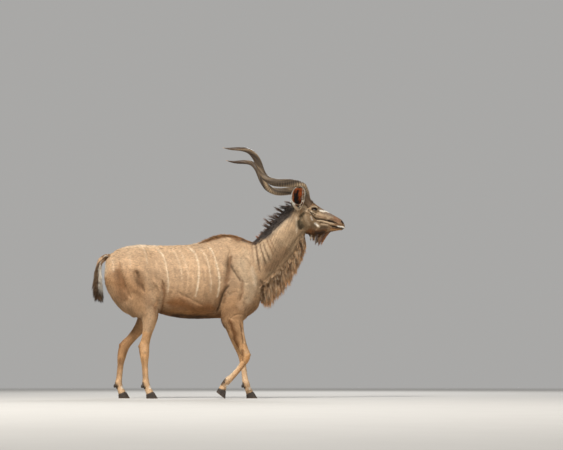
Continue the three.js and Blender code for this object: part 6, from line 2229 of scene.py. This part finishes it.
def horn_point(u):
    """The middle line of the left horn at lengths from its foot, and the way to its keel."""
    along = np.array((-np.sqrt(1 - HORN["rise"] ** 2), 0, HORN["rise"]))
    front, out = np.array((HORN["rise"], 0, -along[0])), np.array((0, 1, 0))
    turn = 2 * np.pi * (u - HORN["front"]) / HORN["pitch"]
    coil = HORN["coil"] * mix(1, HORN["tight"], smooth(u, 600, HORN["reach"]))
    forwards = coil * started(u / 118) * np.cos(turn) - HORN["lag"] * u
    held = np.maximum(u, 0)
    lean = HORN["lean"] * (1 - np.exp(-(held**2) / (held + HORN["ease"]) / HORN["lean_by"]))
    sideways = HORN["flat"] * coil * smooth(u, 31, 304) * np.sin(turn) + lean
    spiral = front * forwards[:, None] + out * sideways[:, None] + along * u[:, None]
    points = np.where(u[:, None] < 0, np.array(HORN["root"]) * u[:, None], spiral) + np.array(HORN["base"])
    points[:, 0] -= HORN["set_back"] * (1 - smooth(u, 0, HORN["front"]))
    first = 2 * np.pi * -HORN["front"] / HORN["pitch"]
    return points, front * np.cos(turn - first)[:, None] + out * np.sin(turn - first)[:, None]


def horn_mesh(name, side, horns):
    """A spiral horn: a keel and a low ridge behind, two grooves, rings on its lower half and fine grain."""
    sides, steps = 60, 310
    u = mix(-HORN["sunk"], HORN["reach"], np.linspace(0, 1, steps + 1) ** 0.95)
    points, keel = horn_point(u)
    bend = (0.5 * smooth(u, -62, -30) * (1 - smooth(u, 50, 100)))[1:-1, None]
    for _ in range(400):
        points[1:-1] = mix(points[1:-1], (points[:-2] + points[2:]) / 2, bend)
    run = unit(np.gradient(points, axis=0))
    keel = squared(keel, run)
    across = np.cross(run, keel)
    share = np.clip(u, 0, None) / HORN["reach"]
    radius = np.maximum(HORN["radius"] * (1 - 0.28 * smooth(share, 0, 0.3)) * (1 - share**4.6), 1.0)
    radius *= mix(0.95, 1, smooth(u, -10, 60))
    angle, column = turns(sides), u[:, None]
    away = np.minimum(angle, 2 * np.pi - angle)
    height = HORN["keel"] * smooth(column, -30, 120)
    groove = bell(away, 1.15, 0.34) + 0.6 * bell(away, 2.05, 0.3)
    reach = 1 + height * bell(away, 0, 0.46) + 0.35 * height * bell(away, 2.6, 0.45) - 0.28 * height * groove
    u_wave = column + 3.0 * np.sin(column / 37.0) + 2.0 * np.sin(column / 17.0)
    wave = np.cos(2 * np.pi * u_wave / (horns.ring_pitch / MM) + 0.5 * np.sin(2 * angle + column / 160))
    rings = np.sign(wave) * np.abs(wave) ** 0.7
    fade = smooth(column, 5, 40) * (1 - smooth(column, 300, 560)) * mix(0.35, 1, bell(away, 0, 1.3))
    grain = 0.35 * np.sin(angle * 17 + 2.0 * np.sin(column / 90)) + 0.25 * np.sin(angle * 29 + column / 60)
    grain = grain * smooth(radius, 3, 18)[:, None]
    outward = radius[:, None] * reach + horns.ridge / MM * rings * fade + grain
    cos, sin = np.cos(angle) * outward, np.sin(angle) * outward
    shape = points[:, None] + keel[:, None] * cos[..., None] + across[:, None] * sin[..., None]
    points, quads, caps = loft(shape * (1, side, 1))
    mesh = mesh_of(name, metres(points), quads, caps)
    if side > 0:
        mesh.flip_normals()
    looks = {"share": share[:, None], "keel": bell(away, 0, 0.45), "ring": rings * fade, "groove": groove}
    for key, values in looks.items():
        add_attribute(mesh, key, "FLOAT", with_ends(np.broadcast_to(values, outward.shape)))
    growth = np.stack([column / 6 + 0 * outward, cos, sin], -1)
    add_attribute(mesh, "growth", "FLOAT_VECTOR", with_ends(growth) * MM)
    return mesh


class KUDU_OT_horns(bpy.types.Operator):
    """Turns the two spiral horns, with their keels and rings"""

    bl_idname = "kudu.horns"
    bl_label = "Horns"

    def execute(self, context):
        _, _, horns, _ = settings()
        web = Web("kudu_horn", 0.5, 0.35)
        growth = web.attribute("growth", "Vector")
        share = web.attribute("share")
        fibres = web.noise(web.stretched(growth, 1, 1, 1), 330.0, 5.0, 0.6)
        broad = web.noise(growth, 60.0, 4.0, 0.6)
        # The keel paler: partly painted highlight along the keel, partly wear; pale patches of wear at
        # random.
        keel_highlight_and_wear = web.attribute("keel") * 0.62 + broad.above(0.44, 0.74) * 0.38
        colour = web.blend(keel_highlight_and_wear, horns.horn_dark, horns.horn_light)
        # Painted shade in the grooves beside the keel.
        colour = web.blend(web.attribute("groove") * 0.75, colour, TINTS["horn groove shade"])
        colour = web.shaded(colour, 0.62 + fibres * 0.62)
        ring = web.attribute("ring")
        # Painted shade in the hollows between the rings; the ridges a little paler.
        colour = web.blend((0 - ring).above(0.1, 1.0) * 0.75, colour, TINTS["shade between the rings"])
        colour = web.blend(ring.above(0.2, 1.0) * 0.3, colour, horns.horn_light)
        colour = web.blend(share.above(0.5, 0.92) * 0.6, colour, TINTS["upper horn"])
        colour = web.blend(share.above(0.975, 1.0), colour, horns.horn_tip)
        colour = web.blend((1 - share.above(0.01, 0.09)) * 0.34, colour, TINTS["foot of the horn"])
        rough = 0.62 - share * 0.24 + fibres * 0.1
        relief = web.bump(fibres + broad * 0.5, 0.0016, 0.8)
        material = web.finish(Base_Color=colour, Roughness=rough, Normal=relief)
        for name, side in SIDES.items():
            horn = f"spiral_horn_{name}"
            show(horn, horn_mesh(horn, side, horns), "horn", material, f"horn_{name}")
        return {"FINISHED"}


# Hooves.
DEWCLAW = (12, 10, 18)


def foot_frame(rows, side):
    """Where a leg ends, the ways down and ahead there, and its depths before and behind."""
    last, before = np.array(rows[-1], float), np.array(rows[-2], float)
    down = unit(np.array((last[0] - before[0], 0, last[2] - before[2])))
    ahead = np.array((-down[2], 0, down[0]))
    return np.array((last[0], side * last[1], last[2])), down, ahead, last[3], last[4]


def hoof_mesh(name, leg, out):
    """One claw: growth rings down its wall, a hard edge at the sole and a hollow sole."""
    rows, side = LEGS[leg]
    at, down, ahead, fore, aft = foot_frame(rows, side)
    tipped = leg == TIPPED["leg"]
    length, half = HOOF["heel"] + HOOF["toe"], HOOF["claw"] / 2
    angle = TIPPED["angle"] if tipped else 0.0
    toe_x, toe_z = TIPPED["toe"] if tipped else (at[0] + HOOF["toe"], 0.0)
    sides, steps = 48, 22
    cos, sin = np.cos(turns(sides)), np.sin(turns(sides))
    outer = np.where(sin * out > 0, 1.0, 0.8)
    narrow = 1 - 0.45 * np.maximum(cos, 0) ** 2
    sideways = lambda wide: out * (half + HOOF["gap"] / 2) + sin * wide * outer * narrow
    top = at + down * 0.5 + ahead * (cos * np.where(cos > 0, fore, aft) * 0.95)[:, None]
    top[:, 1] += sideways(half * 0.96)
    back = (1 - cos) / 2 * length
    sole = np.array((toe_x, at[1], toe_z))
    sole = sole + np.stack([-np.cos(angle) * back, sideways(half * 1.1), np.sin(angle) * back], -1)
    rings = []
    for t in np.arange(steps + 1) / steps:
        ring = mix(top, sole, t)
        swell = 1 + 0.035 * np.sin(np.pi * min(t * 2.2, 1)) - 0.03 * (t > 0.99) + 0.012 * np.cos(t * 30)
        swell = swell - 0.1 * (1 - min(t * 10, 1))
        rings.append(ring.mean(0) + (ring - ring.mean(0)) * swell)
    sole_up = np.array((np.sin(angle), 0, np.cos(angle)))
    edge, middle = rings[steps], rings[steps].mean(0)
    for shrink, rise in ((0.9, 0.4), (0.82, 2.0), (0.5, 3.0), (0.2, 3.2)):
        rings.append(middle + (edge - middle) * shrink + sole_up * rise)
    rings = np.array(rings)
    rings[..., 2] = np.maximum(rings[..., 2], 0.0)
    points, quads, caps = loft(rings)
    points[-2] = rings[0].mean(0) - down * 2
    mesh = mesh_of(name, metres(points), quads, caps)
    with edited(mesh) as bm:
        bmesh.ops.recalc_face_normals(bm, faces=bm.faces)
    height = np.minimum(np.arange(len(rings)) / steps, 1)
    add_attribute(mesh, "wall", "FLOAT", np.concatenate([np.repeat(height, sides), [0, 1]]))
    add_attribute(mesh, "root", "FLOAT_VECTOR", metres(points))
    return mesh


def dewclaw_mesh(name, leg, out):
    """One of the two small claws behind a fetlock, tilted back."""
    rows, side = LEGS[leg]
    x, y, z, _, aft, _ = fill(rows, 2)[-7]
    tall = DEWCLAW[2]
    polar, shape = ball(16, 24)
    points, quads, caps = loft(shape * DEWCLAW * (1 + 0.03 * np.cos(polar * 22))[:, None, None])
    points[-2], points[-1] = (0, 0, tall), (-2, 0, -tall)
    a, b, c = points.T
    cos, sin = np.cos(0.35), np.sin(0.35)
    turned = np.stack([a * cos + c * sin, b, -a * sin + c * cos], -1)
    turned += (x - aft * 0.86, side * y + out * 15, z - 16)
    mesh = mesh_of(name, metres(turned), quads, caps)
    add_attribute(mesh, "wall", "FLOAT", (tall - c) / (2 * tall))
    add_attribute(mesh, "root", "FLOAT_VECTOR", metres(turned))
    return mesh


class KUDU_OT_hooves(bpy.types.Operator):
    """Sets two claws and two dewclaws on each foot"""

    bl_idname = "kudu.hooves"
    bl_label = "Hooves"

    def execute(self, context):
        _, _, horns, _ = settings()
        web = Web("kudu_hoof", 0.45, 0.4)
        place = web.attribute("root", "Vector")
        wall = web.attribute("wall")
        rings = web.noise(web.stretched(place, 40, 40, 420), 1.0, 3.0)
        streaks = web.noise(web.stretched(place, 300, 300, 30), 1.0, 3.0)
        colour = web.blend(streaks.above(0.45, 0.7) * 0.5, horns.hoof, TINTS["hoof streak"])
        colour = web.shaded(colour, 0.6 + rings * 0.8)
        colour = web.blend(wall.above(0.82, 1.0) * 0.55, colour, TINTS["hoof edge"])
        relief = web.bump(rings + streaks * 0.4, 0.0012, 0.8)
        material = web.finish(Base_Color=colour, Roughness=0.36 + streaks * 0.3, Normal=relief)
        for leg, (_, side) in LEGS.items():
            for out in (RIGHT, LEFT):
                place_name = "outer" if out == side else "inner"
                claw, spur = f"claw_{leg}_{place_name}", f"spur_{leg}_{place_name}"
                show(claw, hoof_mesh(claw, leg, out), "hoof", material, f"hoof_{leg}_{place_name}")
                show(spur, dewclaw_mesh(spur, leg, out), "hoof", material, f"dewclaw_{leg}_{place_name}")
        return {"FINISHED"}


# The stage: each light's place, size, power and colour, and the sky's colour and strength, in metres.
LIT_PLACE = (0.0, 0.0, 1.1)
LIGHTS = {
    "key": ((-3.2, -6.5, 8.0), 2.0, 1090, (1.0, 0.965, 0.915)),
    "fill": ((6.5, -6.0, 2.5), 4.0, 150, (1.0, 0.96, 0.91)),
    "rim": ((1.5, 7.5, 6.0), 3.0, 380, (0.97, 0.98, 1.0)),
}
SKY = (0.9, 0.89, 0.87, 1), 0.44
CAMERA_X = 0.544


def aimed(place, target):
    return (Vector(target) - Vector(place)).to_track_quat("-Z", "Y").to_euler()


def add_light(name, place, size, power, colour):
    light = bpy.data.lights.new(name, "AREA")
    light.shape = "DISK"
    light.size = size
    light.energy = power
    light.color = colour
    lamp = bpy.data.objects.new(name, light)
    lamp.location = place
    lamp.rotation_euler = aimed(place, LIT_PLACE)
    bpy.context.scene.collection.objects.link(lamp)


class KUDU_OT_stage(bpy.types.Operator):
    """Lays the floor and sets the lights and the camera"""

    bl_idname = "kudu.stage"
    bl_label = "Stage"

    def execute(self, context):
        _, _, _, stage = settings()
        scene = bpy.context.scene
        bpy.ops.mesh.primitive_circle_add(vertices=96, radius=40, fill_type="NGON", location=(0, 0, 0))
        floor = bpy.context.object
        floor.name = "floor"
        web = Web("pale_floor", 0.85, 0.1)
        place = web.out(web.node("ShaderNodeTexCoord"), "Object")
        grain = web.noise(place, 3.0, 4.0)
        away = web.out(web.node("ShaderNodeVectorMath", {"operation": "LENGTH"}, {0: place}), "Value")
        colour = web.blend(grain, TINTS["floor"], TINTS["floor light"])
        floor.data.materials.append(web.finish(Base_Color=colour, Alpha=1 - away.above(7.0, 22.0)))
        scene.world = bpy.data.worlds.new("studio")
        scene.world.use_nodes = True
        background = scene.world.node_tree.nodes["Background"]
        background.inputs[0].default_value, background.inputs[1].default_value = SKY
        for name, row in LIGHTS.items():
            add_light(name, *row)
        camera = bpy.data.objects.new("camera", bpy.data.cameras.new("camera"))
        camera.data.lens = stage.lens
        camera.data.sensor_width = 36
        camera.data.clip_end = 200
        x = CAMERA_X + SHIFT[0] * MM
        camera.location = (x, -stage.distance, stage.height)
        camera.rotation_euler = aimed(camera.location, (x, 0, stage.aim))
        scene.collection.objects.link(camera)
        scene.camera = camera
        scene.view_settings.view_transform = "Standard"
        return {"FINISHED"}


OPERATORS = (
    KUDU_OT_stage,
    KUDU_OT_skin,
    KUDU_OT_eyes,
    KUDU_OT_horns,
    KUDU_OT_hooves,
    KUDU_OT_short_coat,
    KUDU_OT_manes,
    KUDU_OT_fringe,
    KUDU_OT_beard,
    KUDU_OT_tail_hair,
    KUDU_OT_ear_hair,
    KUDU_OT_fine_hair,
)


class KUDU_PT_panel(bpy.types.Panel):
    bl_idname = "KUDU_PT_panel"
    bl_label = "Kudu bull"
    bl_space_type = "VIEW_3D"
    bl_region_type = "UI"
    bl_category = "Kudu"

    def draw(self, context):
        for group in settings():
            box = self.layout.box()
            for name in group.__annotations__:
                box.prop(group, name)
        for operator in OPERATORS:
            self.layout.operator(operator.bl_idname)


GROUPS = {
    "kudu_coat": KuduCoatSettings,
    "kudu_colours": KuduColourSettings,
    "kudu_horns": KuduHornSettings,
    "kudu_stage": KuduStageSettings,
}


def register():
    for group in GROUPS.values():
        bpy.utils.register_class(group)
    for name, group in GROUPS.items():
        setattr(bpy.types.Scene, name, PointerProperty(type=group))
    for kind in (*OPERATORS, KUDU_PT_panel):
        bpy.utils.register_class(kind)


def unregister():
    for kind in (KUDU_PT_panel, *reversed(OPERATORS)):
        bpy.utils.unregister_class(kind)
    for name, group in GROUPS.items():
        delattr(bpy.types.Scene, name)
        bpy.utils.unregister_class(group)


def main():
    register()
    for operator in OPERATORS:
        family, name = operator.bl_idname.split(".")
        getattr(getattr(bpy.ops, family), name)()


if __name__ == "__main__":
    main()
